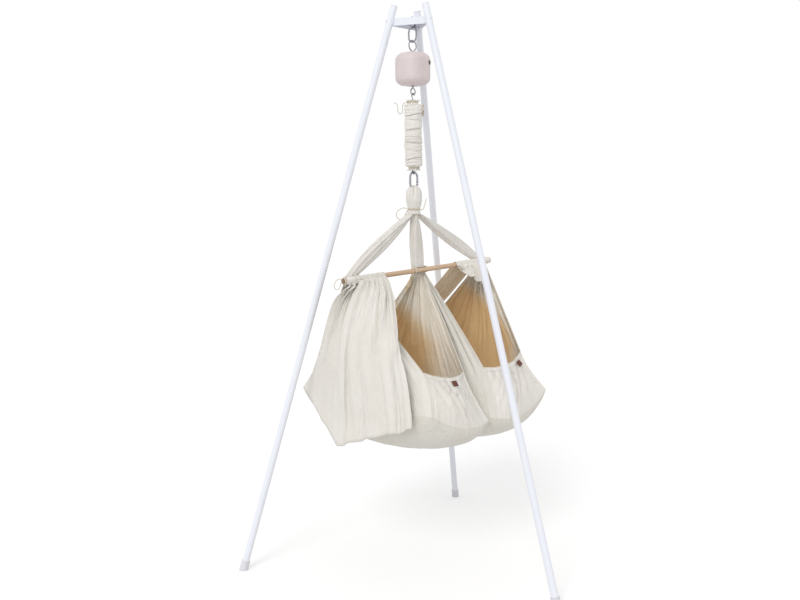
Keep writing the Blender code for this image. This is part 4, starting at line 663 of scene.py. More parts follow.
def spring_path():
    """Hook, coils and hook of one wire."""
    high, low = HOOK_TOP_Z - SPRING_HOOK_R, HOOK_LOW_Z + SPRING_HOOK_R
    top, bottom = SLEEVE_TOP_Z - 0.019, SLEEVE_BOTTOM_Z + 0.019
    steps = SPRING_TURNS * 12
    coils = []
    for index in range(steps + 1):
        turn = radians(20) + 2 * pi * index / 12
        reach = SPRING_COIL_R * (0.62 + 0.38 * min(1.0, index / 8, (steps - index) / 8))
        coils.append(Vector((reach * sin(turn), reach * cos(turn), lerp(top, bottom, index / steps))))
    lead_in = [
        Vector((0.0005, 0.0030, high - SPRING_HOOK_R)),
        Vector((0.0020, 0.0040, top + 0.012)),
        Vector((0.0035, 0.0085, top + 0.004)),
    ]
    lead_out = [
        Vector((-0.0035, 0.0085, bottom - 0.004)),
        Vector((-0.0020, 0.0040, bottom - 0.012)),
        Vector((-0.0005, 0.0055, low + SPRING_HOOK_R + 0.0010)),
    ]
    return [*hook(high, 190), *lead_in, *coils, *lead_out, *hook(low, 20)]


def make_spring():
    mesh = Mesh()
    add_tube(mesh, curve_through(spring_path(), 2), SPRING_WIRE_R, 10)
    ready_to_stretch(mesh.build("spring_wire", "bright_steel"), "spring")


def ruche_set():
    """Creases round the sleeve: height, tilt and its side, depth, half width and the deepest side."""
    chooser = random.Random(12)
    made = []
    low, high = SLEEVE_BOTTOM_Z + 0.016, SLEEVE_TOP_Z - 0.016
    for index in range(24):
        height = lerp(low, high, (index + chooser.uniform(0.0, 0.9)) / 24)
        side, tilt = chooser.uniform(0, 6.28), chooser.uniform(-0.006, 0.006)
        depth, half = chooser.uniform(0.0018, 0.0046), chooser.uniform(0.0011, 0.0026)
        made.append((height, tilt, side, depth, half, side + 1.5))
    for height, tilt in ((1.571, 0.004), (1.523, -0.003), (1.468, 0.005), (1.622, 0.006)):
        made.append((height, tilt, 2.2, 0.0085, 0.0016, CAMERA_SIDE))
    return made


RUCHES = ruche_set()


def ruche_radius(turn, height):
    """Radius of the ruched sleeve: uneven rolls of cloth round it, with narrow creases between."""
    bulk = 0.0034 * uneven_round(turn, 1.5, height * 26 + 9)
    drift = 0.0022 * uneven_round(turn, 2.6, height * 12 + 5)
    lump = hump(height, 1.638, 0.014) * max(0.0, cos(turn - DRAW_KNOT_SIDE)) ** 2
    radius = SLEEVE_OUTER_R - 0.0012 + bulk + 0.0042 * lump
    for at, tilt, side, depth, half, deepest in RUCHES:
        away = (height + drift - at - tilt * sin(turn + side)) / half
        if abs(away) < 2.5:
            radius -= depth * (0.45 + 0.55 * cos(turn - deepest)) * exp(-away * away)
    return radius


def make_sleeve():
    """Tube of ruched cotton, drawn in under its ties, with a short frill at each end."""
    rows = []
    for share in shares(190):
        height = lerp(SLEEVE_TOP_Z, SLEEVE_BOTTOM_Z, share)
        from_end = min(height - SLEEVE_BOTTOM_Z, SLEEVE_TOP_Z - height)
        body = ease((from_end - 0.0085) / 0.009)
        at_end = ease((0.0060 - from_end) / 0.006)
        row = []
        for turn in turns(72):
            gather = cos(13 * turn + 2 * sin(2 * turn))
            drawn = SLEEVE_BORE_R + 0.0021 + 0.0006 * gather + 0.0075 * at_end * (0.8 + 0.6 * gather)
            radius = lerp(drawn, ruche_radius(turn, height) + 0.0008 * gather * (1 - body), body)
            ragged = 0.0012 * uneven_round(turn, 5, share)
            inward = abs(ragged) * at_end * (1 if share < 0.5 else -1)
            row.append((radius * cos(turn), radius * sin(turn), height - inward))
        rows.append(row)
    mesh = Mesh().grid(rows, 0.19, 0.247, closed=True)
    sleeve = thicken(mesh.build("sleeve_cloth", "cotton_gathered"), 0.0010, 1)
    ready_to_stretch(sleeve, "spring_sleeve")


# Neck and bunches

def neck_section(height):
    """Half axes of the gathered neck: narrow at the tie, spread below the carabiner."""
    heights, half_x, half_y = zip(
        (NECK_BOTTOM_Z, 0.0275, 0.0210),
        (NECK_TIE_Z - 0.006, 0.0255, 0.0195),
        (NECK_TIE_Z, 0.0228, 0.0172),
        (NECK_TIE_Z + 0.006, 0.0260, 0.0198),
        (NECK_TIE_Z + 0.030, 0.0325, 0.0245),
        (NECK_TIE_Z + 0.058, 0.0325, 0.0245),
        (LINK_BAR_Z - 0.006, 0.0300, 0.0225),
        (LINK_BAR_Z + 0.003, 0.0230, 0.0190),
        (LINK_BAR_Z + 0.009, 0.0130, 0.0140),
        (LINK_BAR_Z + 0.012, 0.0080, 0.0090),
    )
    return float(np.interp(height, heights, half_x)), float(np.interp(height, heights, half_y))


def crease(turn, share, count, seed):
    """From 0 on a fold's crest to 1 in its crease, uneven round the bunch and along it."""
    wander = 0.5 * uneven_round(turn, 1.2, seed + share * 1.3)
    at = count * turn / (2 * pi) + wander + 0.25 * sin(3 * turn + seed)
    depth = 0.55 + 0.45 * uneven_round(turn, 2, seed + 7 + share)
    small = 1 - abs(sin(pi * (2.3 * at + 0.4))) ** 0.8
    return (1 - abs(sin(pi * at)) ** 0.45) * depth + 0.22 * small


def make_bundle(name, rows, length):
    """Closed bundle of gathered cloth from its rings."""
    sides = len(rows[0])
    mesh = Mesh().grid(rows, 0.30, length, closed=True)
    mesh.cap(0, sides)
    mesh.cap(sides * (len(rows) - 1), sides, flip=True)
    return ready(mesh.build(name + "_cloth", "cotton_gathered"))


def make_neck():
    rows = []
    for share in shares(90):
        height = lerp(NECK_BOTTOM_Z, LINK_BAR_Z + 0.012, share)
        half_x, half_y = neck_section(height)
        from_tie = ease(abs(height - NECK_TIE_Z) / 0.02)
        depth = lerp(0.0020, 0.0052, from_tie) * (1 - 0.4 * ease((share - 0.85) / 0.15))
        row = []
        for turn in turns(96):
            slit = hump(turn, NECK_SLIT, 0.11) * ease((share - 0.45) / 0.3)
            shrink = 1 - (depth * crease(turn, share * 0.6, 15, 3.0) + 0.0065 * slit) / half_y
            shrink = max(0.35, shrink)
            row.append((half_x * shrink * cos(turn), half_y * shrink * sin(turn), height))
        rows.append(row)
    neck = make_bundle("neck", rows, 0.10)
    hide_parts("hammock_neck")


def rod_height(x):
    return ROD_Z + (x - HAMMOCK_X) * ROD_SLOPE


def under_rod(x):
    """Height at which the cloth leaves the rod on its way down."""
    return rod_height(x) - ROD_R - 0.006


def make_bunches():
    """Gathered cloth from the neck to the rod: folds run along it and close up at both ends."""
    back = HAMMOCK_Y + ROD_R + 0.0115
    kinds = {
        "left": (-0.0172, GATHER_HALF, 0.030, 7, 0.0160, 11.0),
        "centre": (0.0, GATHER_HALF * CENTRE_GATHER, 0.008, 8, 0.0130, 23.0),
        "right": (0.0172, GATHER_HALF, 0.030, 5, 0.0100, 37.0),
    }
    for side, (start_x, half_x, fullness, count, deep, seed) in kinds.items():
        low = rod_height(GATHERS[side]) - 0.004
        rows = []
        for share in shares(80):
            eased, swell = ease(share), sin(pi * share)
            x, y = lerp(start_x, GATHERS[side], share**0.96), lerp(0, back, eased)
            wide, thick = lerp(0.0082, half_x, share**0.6) + fullness * swell, lerp(0.0180, 0.0095, eased)
            height = lerp(NECK_BOTTOM_Z - TOUCH, low, share)
            row = []
            for turn in turns(96):
                depth = min(deep * (0.4 + 0.6 * swell) * crease(turn, share, count, seed), 0.8 * thick)
                flat_x, flat_y = (wide - depth * 0.7) * cos(turn), (thick - depth) * sin(turn)
                row.append((x + flat_x, y + flat_y, height + flat_x * ROD_SLOPE * eased))
            rows.append(row)
        bunch = make_bundle("bunch_" + side, rows, 0.35)
        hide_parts("bunch_" + side)


def make_rod_wraps():
    """Pleated cloth of the bunches where it passes over the rod. The middle one leaves the front bare."""
    wraps = (
        ("left", -0.3655, -0.314, 0, 360),
        ("centre", -0.0290, 0.0290, -75, 100),
        ("right", 0.3160, 0.3655, 0, 360),
    )
    for side, low_end, high_end, first, last in wraps:
        closed = side != "centre"
        rows = []
        for level in shares(60):
            along = lerp(low_end, high_end, level)
            strong = 0.6 + 0.6 * uneven(along * 90, 3.0, 8.0)
            row = []
            for step in range(48):
                turn = radians(lerp(first, last, step / (48 if closed else 47)))
                wander = 0.0022 * uneven_round(turn, 1, along * 60)
                ridge = abs(sin(pi * (along + wander) / 0.0074)) ** 0.6
                reach = ROD_R + 0.0013 + 0.0042 * ridge * strong
                row.append(rod_point(along) + (ROD_UP * sin(turn) + Vector((0, 1, 0)) * cos(turn)) * reach)
            rows.append(row)
        mesh = Mesh().grid(rows, 0.08, 0.05, closed=closed)
        wrap = ready(thicken(mesh.build("rod_wrap_" + side, "cotton_gathered"), 0.0009))


def make_rolled_edge():
    """Rolled and knotted end of the left pouch's inner edge, hanging just under the rod."""
    x = GATHERS["centre"]
    top = Vector((x - 0.030, GATHER_FRONT_Y + 0.004, rod_height(x) - 0.006))
    path, radii = [], []
    for share in shares(40):
        path.append(top + Vector((-0.010 * share, 0.030 * share, -0.078 * share)))
        rolled = 0.0030 + 0.0012 * sin(pi * share) + 0.0008 * sin(share * 30)
        radii.append(rolled + 0.0048 * hump(share, 0.62, 0.13))
    mesh = Mesh()
    add_tube(mesh, path, radii, 20)
    # Painted shade: the rolled edge hangs in shade under the rod, so it gets a fixed share of the tan
    # shade.
    mesh.shades["tan"] = [0.45] * len(mesh.points)
    return ready(mesh.build("rolled_edge", "cotton_inside_painted_shade"))


# Folds

def fold_set(count, seed, wide, deep, slant, lengths):
    """Folds of a cloth: place, slant, half width, depth and length of each."""
    chooser = random.Random(seed)
    folds = []
    for index in range(count):
        place = (index + chooser.uniform(0.1, 0.9)) / count
        slanted, half = chooser.uniform(*slant), chooser.uniform(*wide)
        depth = deep * chooser.uniform(0.35, 1.0)
        folds.append((place, slanted, half, depth, chooser.uniform(*lengths)))
    return folds


def fold_height(folds, across, down, opening):
    """Sum of the folds at a place: each is a rounded ridge that widens and dies out on its way down."""
    height = 0.0
    for place, slant, half, depth, length in folds:
        away = (across - place - slant * down) / (half * (1 + opening * down))
        if abs(away) < 2.6:
            fade = 1 - ease((down - length * 0.55) / (length * 0.45))
            height += depth * exp(-away * away) * fade
    return height


def rounded(rows, first, last, reach):
    """The grid with its rows between first and last averaged with their neighbours, to round a crease."""
    rows = np.array([[tuple(point) for point in row] for row in rows])
    smooth_rows = rows.copy()
    for index in range(first, last):
        near = min(reach, index - first, last - 1 - index)
        smooth_rows[index] = rows[index - near : index + near + 1].mean(axis=0)
    return smooth_rows


def wall_folds(along, up, seed):
    """How far a long wall stands out: folds fan down from the gather and die out at different heights."""
    wander = 0.05 * sin(5.1 * along + seed) + 0.03 * sin(11.0 * along + 2 * seed)
    at = along + wander + 0.05 * uneven(along * 2.5, up * 1.5, seed)
    reach = 0.30 + 0.30 * uneven(at * 3.0, seed, 4.0)
    rise = ease((up - max(0.02, 0.42 - reach)) / 0.5)
    ridge = 1 - abs(sin(pi * 5.5 * at + seed)) ** 0.5
    close = 1 - 0.62 * ease((up - 0.78) / 0.22)
    swell = 0.004 * uneven(along * 1.8, up * 2.6, seed + 3) * ease(up / 0.3) * (1 - up) * 2
    return (-0.0150 * ridge * rise * close + swell) * ease((1 - abs(along)) / 0.09)


PANEL_FOLDS = (
    fold_set(8, 21, (0.014, 0.030), 0.0085, (0.20, 0.50), (0.7, 1.3)),
    fold_set(9, 34, (0.014, 0.030), 0.0085, (-0.10, 0.35), (0.6, 1.3)),
)


def panel_folds(across, up, seed):
    """Elastic gathers under the hem that run into slanting folds, and a crease beside each seam."""
    from_seam = min(across, 1 - across)
    side_fade = ease(across / 0.10) * ease((1 - across) / 0.10)
    wander = 0.010 * uneven(across * 9, seed, up * 2)
    fine = (cos(2 * pi * 21 * (across + wander)) - 1) * ease((up - 0.50) / 0.30)
    fine *= 1 - 0.75 * ease((up - 0.88) / 0.12)
    slanted = fold_height(PANEL_FOLDS[seed > 2], across, 1 - up, 0.9)
    crumple = 0.0016 * uneven(across * 11, up * 5, seed) - 0.0016
    below_hem = ease(up / 0.25) * ease((1 - up) / 0.12)
    beside_seam = 0.0040 * hump(from_seam, 0.045, 0.016) * below_hem
    return (0.0019 * fine + (crumple - slanted) * below_hem) * side_fade - beside_seam


# Pouches. A side is -1 for the left pouch and 1 for the right one, a wall -1 outside and 1 inside.

def seam_point(side, wall, along):
    corner = 0.018 * abs(along) ** 6
    reach = POUCH_WIDTH + POUCH_GAP / 2 - corner if wall < 0 else POUCH_GAP / 2 + corner
    level = SEAM_Z_OUTER if wall < 0 else SEAM_Z_INNER
    return Vector((HAMMOCK_X + side * reach, HAMMOCK_Y + along * POUCH_LENGTH / 2, level))


def gather_point(side, wall, along):
    if wall > 0:
        centre = GATHERS["centre"] + side * 0.006
    else:
        centre = GATHERS["left" if side < 0 else "right"]
    x = centre - GATHER_HALF * along
    return Vector((x, GATHER_BACK_Y if wall > 0 and side > 0 else GATHER_FRONT_Y, under_rod(x)))


def wall_point(side, wall, along, up):
    """Long wall: up is 0 at the seam, 1 under the rod and 2 at the top behind the rod."""
    base, top = seam_point(side, wall, along), gather_point(side, wall, along)
    if up >= 1:
        return Vector((top.x, top.y, lerp(top.z, rod_height(top.x) + ROD_R + 0.004, up - 1)))
    edge_y = HEM_Y / (POUCH_LENGTH / 2)
    if up < HEM_SHARE:
        tight = lerp(1.0, edge_y, up / HEM_SHARE)
        pull = sin(pi / 2 * up / HEM_SHARE)
    else:
        pull = (1 - up) / (1 - HEM_SHARE)
        tight = edge_y * pull
    edge_share = along * along
    y = top.y + (base.y - top.y) * lerp(1 - up, tight, edge_share)
    x = lerp(base.x, top.x, up)
    toward_middle = side * wall
    x += toward_middle * HEM_PULLS[side, wall] * edge_share * edge_share * pull
    bulge = sin(pi * min(1.0, up * 1.25)) if up < 0.8 else 0.0
    x -= toward_middle * 0.022 * bulge * (1 - edge_share) * (1.0 if wall < 0 else -0.35)
    folds = sin(pi * PLEATS * along) * sin(pi * up) ** 0.8
    x -= 0.5 * PLEAT_DEPTH * folds * (1 - 0.25 * edge_share) * wall * (1 - up * 0.6)
    sag = SEAM_Z_INNER - SEAM_Z_OUTER if wall > 0 else 0.0
    return Vector((x, y, lerp(SEAM_Z_OUTER, top.z, up) + sag * (1 - up) ** 2))


def panel_point(side, end, across, up):
    """End panel: across runs from the outer wall to the inner one, up from the seam to the hem."""
    inner = wall_point(side, 1, end, up * HEM_SHARE)
    point = wall_point(side, -1, end, up * HEM_SHARE).lerp(inner, across)
    middle = 4 * across * (1 - across)
    point.z -= middle * lerp(0.030, 0.016, up)
    point.y += end * middle * (0.012 + 0.030 * sin(pi * up * 0.85))
    gathers = sin(2 * pi * 4 * across) * up * (1 - 0.4 * up)
    point.y += end * 0.004 * gathers * middle
    return point


def base_point(side, across, along):
    point = seam_point(side, -1, along).lerp(seam_point(side, 1, along), across)
    middle = 4 * across * (1 - across)
    point.z -= middle * 0.030 * abs(along) ** 4
    point.y += math.copysign(0.012, along) * middle * abs(along) ** 4
    spread = (1 - abs(2 * across - 1) ** 2.6) ** 0.5 * max(0.0, 1 - abs(along) ** 2.8) ** 0.5
    point.z -= (BASE_DEPTH + 0.020 * min(0.0, along)) * spread
    return point


def graded(count, strength=0.55):
    """Shares from 0 to 1, closer together near both ends."""
    return [lerp(share, (1 - cos(pi * share)) / 2, strength) for share in shares(count)]


def painted_shade_share(point, wall):
    """Share of painted shade inside the pouch, kept in the tan attribute: none by the near edge and the
    gather, painted tan shade deep inside, less of it high up.
    """
    near_edge = -0.262 * (1 - ease((point.z - HEM_Z) / 0.30))
    start, width, fade = (0.125, 0.17, 0.75) if wall > 0 else (0.055, 0.10, 0.3)
    deep = ease((point.y - HAMMOCK_Y - near_edge - start) / width)
    high = ease((point.z - 0.86) / 0.20) * fade
    return max(0.0, min(1.0, (0.02 + 0.98 * deep) * (1 - high)))


def make_pouch(name, side):
    alongs = [2 * share - 1 for share in graded(120, 0.35)]
    acrosses = graded(52, 0.45)
    rises = [HEM_SHARE * share for share in shares(26)]
    rises += [lerp(HEM_SHARE, 1, share) for share in shares(58)[1:]] + [1.33, 1.67, 2.0]
    mesh = Mesh()
    edges = {}
    for wall in (-1, 1):
        seed = 1.7 + side * 0.9 + wall * 2.3
        rows, folds, hems = [], [], []
        for up in rises:
            fixed, narrowing = up in (0, 2.0), 0.34 * (1 - 0.8 * min(up, 1))
            beyond = 0 if up > HEM_SHARE else 1
            rows.append([wall_point(side, wall, along, up) for along in alongs])
            folds.append([0.0 if fixed else wall_folds(along, min(up, 1), seed) for along in alongs])
            hems.append([(1 - abs(along)) * narrowing + beyond for along in alongs])
        # Painted shade: the walls' insides turn tan the deeper they lie in the pouch.
        tan = [[painted_shade_share(point, wall) for point in row] for row in rows]
        toward = (-side * wall, 0, 0)
        edges[wall] = add_cloth(mesh, rows, folds, toward, (POUCH_LENGTH, 0.50), tan, hems)
    for end in (-1, 1):
        rows, folds, hems = [], [], []
        for up in shares(26):
            rows.append([panel_point(side, end, across, up) for across in acrosses])
            folds.append([panel_folds(across, up, 2.0 + side + end) for across in acrosses])
            hems.append([(1 - up) * 0.16] * len(acrosses))
        folds[0] = [0.0] * len(acrosses)
        # Painted shade: the panels' insides turn tan the deeper they lie in the pouch.
        tan = [[painted_shade_share(point, 0) for point in row] for row in rows]
        moved = add_cloth(mesh, rows, folds, (0, end, 0), (POUCH_WIDTH, 0.16), tan, hems)
        edges["hem", end], edges["seam", end] = moved[-1], moved[0]
    rows, sags = [], []
    for along in alongs:
        rows.append([base_point(side, across, along) for across in acrosses])
        sags.append([])
        for across in acrosses:
            fade = ease(min(across, 1 - across) / 0.06) * ease((1 - abs(along)) / 0.03)
            sags[-1].append(0.0022 * uneven(across * 7, along * 6, side * 3.0) * fade)
    # Painted shade: the base's inside gets a fixed, deep share of the tan shade.
    tan = [[0.75] * len(acrosses)] * len(alongs)
    under = len(mesh.faces)
    add_cloth(mesh, rows, sags, (0, 0, -1), (POUCH_WIDTH, POUCH_LENGTH), tan)
    looks = ("cotton", "cotton_inside_painted_shade", "cotton_base_painted_shade", "cotton_inside_painted_shade")
    pouch = mesh.build(f"pouch_{name}_cloth", *looks)
    # The underside's faces take the darker base cotton: painted shade.
    for polygon in list(pouch.data.polygons)[under:]:
        polygon.material_index = looks.index("cotton_base_painted_shade")
    weld(pouch)
    ready(thicken(pouch, inside=1), "pouch_" + name)
    trims = [make_piping(name, edges)]
    if side < 0:
        trims.append(make_rolled_edge())


def make_piping(name, edges):
    """Narrow rolled trim on the free edges and on the seam round the base."""
    mesh = Mesh()
    for end in (-1, 1):
        add_tube(mesh, edges["hem", end], 0.0017)
        add_tube(mesh, edges["seam", end], 0.0011)
    for wall in (-1, 1):
        rises = edges[wall]
        for column in (0, -1):
            add_tube(mesh, rises[26:-3, column], 0.0020)
            add_tube(mesh, rises[:27, column], 0.0013)
        add_tube(mesh, rises[0], 0.0011)
    return ready(mesh.build(f"pouch_{name}_piping", "piping"))


# Mattresses

def filled_in(values, times):
    """The values with more between them, evenly in each gap."""
    made = []
    for a, b in zip(values, values[1:]):
        made += [lerp(a, b, step / times) for step in range(times)]
    return made + [values[-1]]


def make_mattress(name, side):
    """Crowned cushion whose underside follows the base."""
    columns = filled_in(graded(8)[1:-1], 6)
    rows = filled_in([2 * share - 1 for share in graded(14)[2:-2]], 6)
    low, high = [], []
    for along in rows:
        low.append([])
        high.append([])
        for share in columns:
            at_row = abs(along / rows[-1]) ** 10
            at_side = abs(2 * (share - columns[0]) / (columns[-1] - columns[0]) - 1) ** 8
            seat = base_point(side, share, along)
            seat.z += 0.0055 + 0.0020 * max(at_row, at_side)
            crown = (1 - (2 * share - 1) ** 4) * (1 - (along / rows[-1]) ** 8)
            thick = 0.35 * (1 - 0.5 * max(at_row, at_side)) + 0.65 * crown
            low[-1].append(seat)
            high[-1].append(seat + Vector((0, 0, MATTRESS_THICKNESS * thick)))
    faces = [(low, (0, 0, -1), 0.28, 0.6), (high, (0, 0, 1), 0.28, 0.6)]
    for row, way in ((0, -1), (-1, 1)):
        faces.append(([low[row], high[row]], (0, way, 0), 0.28, 0.02))
    for column, way in ((0, side), (-1, -side)):
        rim = [[row[column] for row in low], [row[column] for row in high]]
        faces.append((rim, (way, 0, 0), 0.6, 0.02))
    mesh = Mesh()
    for grid, toward, width, length in faces:
        mesh.grid(grid, width, length, flip=looks_away(grid, toward))
    cushion = mesh.build(f"mattress_{name}_cover", "mattress_cloth")
    weld(cushion)
    return cushion


def keep_shape(piece):
    """Makes the modifiers' result the piece's own mesh."""
    seen = piece.evaluated_get(bpy.context.evaluated_depsgraph_get())
    made = bpy.data.meshes.new_from_object(seen)
    piece.modifiers.clear()
    piece.data = made


def mesh_points(mesh):
    points = np.zeros(len(mesh.vertices) * 3)
    mesh.vertices.foreach_get("co", points)
    return points.reshape(-1, 3)


def start_filling(cushion):
    """Gives the cover even faces and sets a little pressure going in it."""
    remesh = cushion.modifiers.new("even", "REMESH")
    remesh.mode, remesh.voxel_size = "VOXEL", 0.006
    keep_shape(cushion)
    cloth = cushion.modifiers.new("filling", "CLOTH").settings
    cloth.use_pressure, cloth.uniform_pressure_force = True, 4.0
    cloth.quality = 4
    cloth.effector_weights.gravity = 0.0


def end_filling(cushion):
    """Keeps the filled shape where it is close to the cut one and doesn't go through the base."""
    seen = cushion.evaluated_get(bpy.context.evaluated_depsgraph_get())
    before = mesh_points(cushion.data)
    move = mesh_points(seen.to_mesh()) - before
    size = np.linalg.norm(move, axis=1, keepdims=True)
    move *= np.minimum(1.0, FILL_CAP / np.maximum(size, 1e-9))
    move[:, 2] = np.maximum(move[:, 2], -0.0005)
    cushion.modifiers.clear()
    cushion.data.vertices.foreach_set("co", (before + move).reshape(-1))
    finer = cushion.modifiers.new("finer", "SUBSURF")
    finer.levels = finer.render_levels = 1


def fill_cushions(cushions):
    """Fills the closed covers, so that they crown and pucker, and makes them ready."""
    scene = bpy.context.scene
    for cushion in cushions:
        start_filling(cushion)
    for step in range(1, 21):
        scene.frame_set(step)
    for cushion in cushions:
        end_filling(cushion)
    scene.frame_set(1)
    for cushion in cushions:
        smooth(cushion.data)
        ready(cushion, cushion.name.removesuffix("_cover"))


# Cover cloths over the rod

def over_rod(x, turn):
    radius = ROD_R + 0.0006 + CLOTH / 2
    return Vector((x, HAMMOCK_Y - radius * cos(turn), rod_height(x) + radius * sin(turn)))


def up_left_wall(z):
    return (z - SEAM_Z_OUTER) / (under_rod(GATHERS["left"]) - SEAM_Z_OUTER)


def wall_outside_x(y, z):
    """X of the left pouch's outer wall at a place seen from the left."""
    up = min(1 - 1e-6, max(0.0, up_left_wall(z)))
    low, high = -1.0, 1.0
    for _ in range(24):
        middle = (low + high) / 2
        if wall_point(-1, -1, middle, up).y < y:
            low = middle
        else:
            high = middle
    return wall_point(-1, -1, (low + high) / 2, up).x


def left_rod_x(across):
    """Where the left cloth lies on the rod: its far part is gathered close."""
    if across < WING:
        return HAMMOCK_X + lerp(-0.325, -0.300, across / WING)
    return HAMMOCK_X + lerp(-0.300, -0.191, (across - WING) / (1 - WING))


def drape_left_near(across, down):
    """Left cloth: its near part hangs past the wall's near edge, its far part lies on the wall."""
    wing = max(0.0, 1 - across / WING)
    near = max(0.0, (across - WING) / (1 - WING))
    billow = Vector((0, 0.050 * near * near * sin(pi * down) ** 0.8, 0))
    start = over_rod(left_rod_x(across), 0.0)
    edge = wall_point(-1, -1, lerp(-1.0, 0.92, wing), up_left_wall(ROD_Z - lerp(*DRAPE_CROSS_DROP, near)))
    clear = lerp(DRAPE_CLEAR, 0.006, wing)
    crossing = edge + Vector((-clear, -2 * DRAPE_CLEAR * (1 - wing), 0))
    if down <= DRAPE_CROSS:
        return start.lerp(crossing, down / DRAPE_CROSS) - billow
    share = (down - DRAPE_CROSS) / (1 - DRAPE_CROSS)
    end_y = lerp(HAMMOCK_Y + lerp(*DRAPE_LOW_Y, near), WING_END_Y, wing)
    end_z = lerp(ROD_Z - lerp(*DRAPE_LOW_DROP, near), WING_END_Z, wing)
    y, z = lerp(crossing.y, end_y, share) - billow.y, lerp(crossing.z, end_z, share)
    fold = 0.5 + 0.5 * sin(2 * pi * DRAPE_FOLDS * near + 0.8)
    outward_by = DRAPE_CLEAR + DRAPE_FOLD_DEPTH * fold * min(1.0, 2 * share)
    outward_by = lerp(outward_by, 0.0045, ease(wing * 2))
    limit = lerp(HAMMOCK_X - POUCH_WIDTH, 0.0, ease(wing * 3))
    return Vector((min(wall_outside_x(y, z), limit) - outward_by, y, z))


def drape_left_far(across, down):
    start = over_rod(left_rod_x(across), pi)
    fold = 0.006 * sin(2 * pi * 3 * across) * min(1.0, down * 4)
    return start + Vector((0.012 * down * (1 - across), 0.11 * down + fold, -0.24 * down))


def right_rod_x(across):
    return HAMMOCK_X + lerp(*DRAPE_RIGHT_X, across)


def drape_right_near(across, down):
    start = over_rod(right_rod_x(across), 0.0)
    fold = 0.004 * sin(2 * pi * 2.5 * across + 1) * min(1.0, down * 4)
    fall = lerp(0.014, 0.105, across**0.8) * down
    return start + Vector((0.008 * down * (1 - across), fold - 0.45 * fall, -fall))


def drape_right_far(across, down):
    start = over_rod(right_rod_x(across), pi)
    end = Vector((HAMMOCK_X + lerp(0.075, 0.245, across), HAMMOCK_Y + HEM_Y + 0.052, HEM_Z + 0.012))
    point = start.lerp(end, down)
    ripple = 0.005 * sin(2 * pi * 2.5 * across) * sin(pi * min(1.0, down + 0.1))
    point.z -= 0.018 * sin(pi * down) + ripple
    return point


DRAPES = {
    "left": {
        "route": (drape_left_near, left_rod_x, drape_left_far),
        "rows": (90, 26), "columns": 140,
        "folds": (17, 9), "seed": 3,
        "toward": (-0.3, -1, 0.8),
        "size": (0.66, 0.86), "area": 0.44,
        "looks": ("cotton",),
        "turned_back": 0.062,
    },
    "right": {
        "route": (drape_right_near, right_rod_x, drape_right_far),
        "rows": (20, 60), "columns": 90,
        "folds": (9, 5), "seed": 8,
        "toward": (0, -0.2, 1),
        "size": (0.18, 0.52), "area": None,
        "looks": ("cotton", "cotton_far_painted_shade"),
        "turned_back": 0.0,
    },
}


def make_drape(name, kind):
    """One cloth thrown over the rod: near part, over the rod, far part. Its edge may be turned back."""
    near, rod_x, far = kind["route"]
    near_rows, far_rows = kind["rows"]
    columns, seed, turned_back, size = kind["columns"], kind["seed"], kind["turned_back"], kind["size"]
    close_count, soft_count = kind["folds"]
    close = fold_set(close_count, seed, (0.009, 0.018), 0.0135, (-0.05, 0.05), (0.35, 1.0))
    soft = fold_set(soft_count, seed + 1, (0.018, 0.036), 0.0200, (-0.08, 0.08), (1.0, 1.9))
    acrosses = shares(columns)
    near_downs, bends, far_downs = shares(near_rows)[:0:-1], shares(12), shares(far_rows)[1:]
    rows = [[near(share, down) for share in acrosses] for down in near_downs]
    rows += [[over_rod(rod_x(share), pi * bend) for share in acrosses] for bend in bends]
    rows += [[far(share, down) for share in acrosses] for down in far_downs]
    downs = [*near_downs, *(0.0 for _ in bends), *far_downs]
    rows = rounded(rows, 1, near_rows, 16)
    folds, hems = [], []
    for index, down in enumerate(downs):
        shallow = 1.0 if index < near_rows else 0.45
        from_rod = 0.30 + 0.70 * ease(down / 0.06)
        off_rod = 0.0011 * ease(down / 0.1)
        row = []
        for share in acrosses:
            small = (1 + uneven(share * 14, down * 8, seed + 9.5)) * off_rod
            height = fold_height(close, share, down, 1.2) * from_rod
            height += fold_height(soft, share, down, 0.5) * ease(down / 0.18)
            if turned_back:
                height *= 1 - hump(share, 0.62, 0.022) * (1 - ease(down / 0.16))
            row.append(TOUCH + shallow * (height + small))
        folds.append(row)
        hems.append([min(min(share, 1 - share) * size[0], (1 - down) * size[1]) for share in acrosses])
    mesh = Mesh()
    moved = add_cloth(mesh, rows, folds, kind["toward"], size, hem=hems)
    if turned_back:
        flip = looks_away(moved, kind["toward"])
        add_turned_edge(mesh, moved, downs[:near_rows], turned_back, size[0], flip)
    cloth = mesh.build(f"drape_{name}_cloth", *kind["looks"])
    # The far part takes the drape's last look, which on the right cloth is the painted shade cotton.
    for polygon in list(cloth.data.polygons)[(near_rows + len(bends) - 2) * columns :]:
        polygon.material_index = len(kind["looks"]) - 1
    weld(cloth)
    ready(thicken(cloth), "drape_" + name)


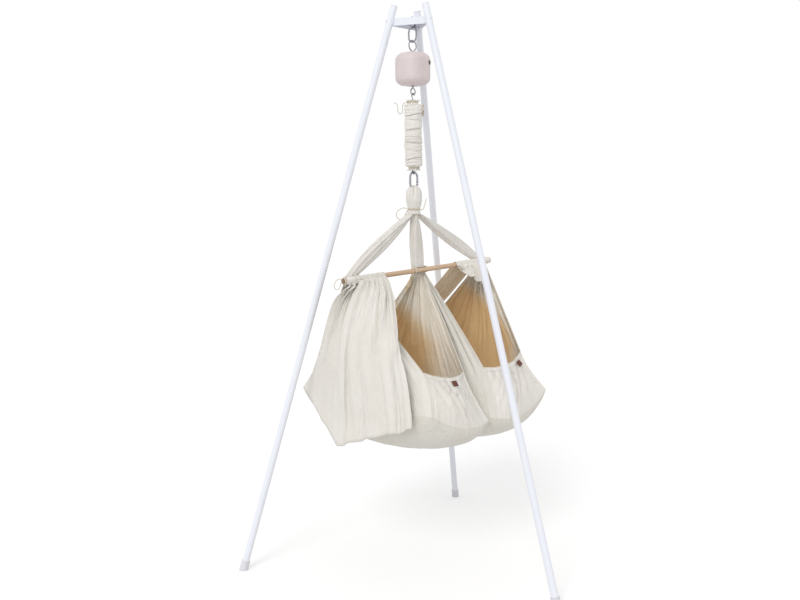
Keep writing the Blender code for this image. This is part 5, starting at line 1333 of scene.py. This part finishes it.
def add_turned_edge(mesh, rows, downs, width, cloth_width, flip):
    """The near part's edge folds over on itself and lies on the cloth as a strip."""
    out = normals(rows)
    if out[: len(downs) // 2].mean(axis=(0, 1))[0] > 0:
        out = -out
    last = rows.shape[1] - 1
    strip, hems = [], []
    for index, down in enumerate(downs):
        wide = width * ease((down - 0.30) / 0.30)
        if wide < 0.0015:
            break
        row = []
        for share in shares(16):
            column = last - share * wide / cloth_width * last
            before = min(int(column), last - 1)
            surface = lerp(rows[index][before], rows[index][before + 1], column - before)
            rise = 0.0130 * sin(pi / 2 * min(1.0, share * 5)) - 0.0035 * ease(share)
            row.append(surface + out[index][before] * rise * ease(wide / 0.045))
        strip.append(row)
        hems.append([width * (1 - share) for share in shares(16)])
    mesh.grid(strip, width, 0.4, hem=hems, flip=not flip)


# Room

def make_stage():
    """Plain pale floor that keeps the object's shadow, white surroundings and soft light."""
    size, white = 40, (1, 1, 1, 1)
    plane = bpy.data.meshes.new("floor")
    corners = [(-size, -size, 0), (size, -size, 0), (size, size, 0), (-size, size, 0)]
    plane.from_pydata(corners, [], [(0, 1, 2, 3)])
    floor = bpy.data.objects.new("floor", plane)
    bpy.context.collection.objects.link(floor)
    look = Look("pale_floor", Roughness=1.0, Specular_IOR_Level=0.0, Emission_Color=white)
    look.shader.inputs["Base Color"].default_value = (0.8, 0.8, 0.8, 1)
    look.tree.links.new(look.math("MULTIPLY", look.seen(), 0.26), look.shader.inputs["Emission Strength"])
    plane.materials.append(look.material)
    world = bpy.data.worlds.new("studio")
    bpy.context.scene.world = world
    world.use_nodes = True
    sky = Nodes(world.node_tree)
    backdrop = sky.tree.nodes["Background"]
    backdrop.inputs["Color"].default_value = white
    sky.tree.links.new(sky.ramp(sky.seen(), 0, 1, 0.80, 1.0), backdrop.inputs["Strength"])
    sun = bpy.data.lights.new("soft_key", "SUN")
    sun.energy, sun.angle = 0.95, radians(24)
    key = bpy.data.objects.new("soft_key", sun)
    bpy.context.collection.objects.link(key)
    key.rotation_euler = Vector((2.0, 0.9, -1.7)).to_track_quat("-Z", "Y").to_euler()
    bpy.context.scene.view_settings.view_transform = "Standard"


make_camera()
make_bows()
make_stage()
dress_nodes()
make_ties()
make_spring()
make_sleeve()
make_draw_knots()
make_neck()
make_bunches()
make_rod_wraps()
make_pouch("left", -1)
make_pouch("right", 1)
fill_cushions([make_mattress("left", -1), make_mattress("right", 1)])
for drape_name, drape_kind in DRAPES.items():
    make_drape(drape_name, drape_kind)
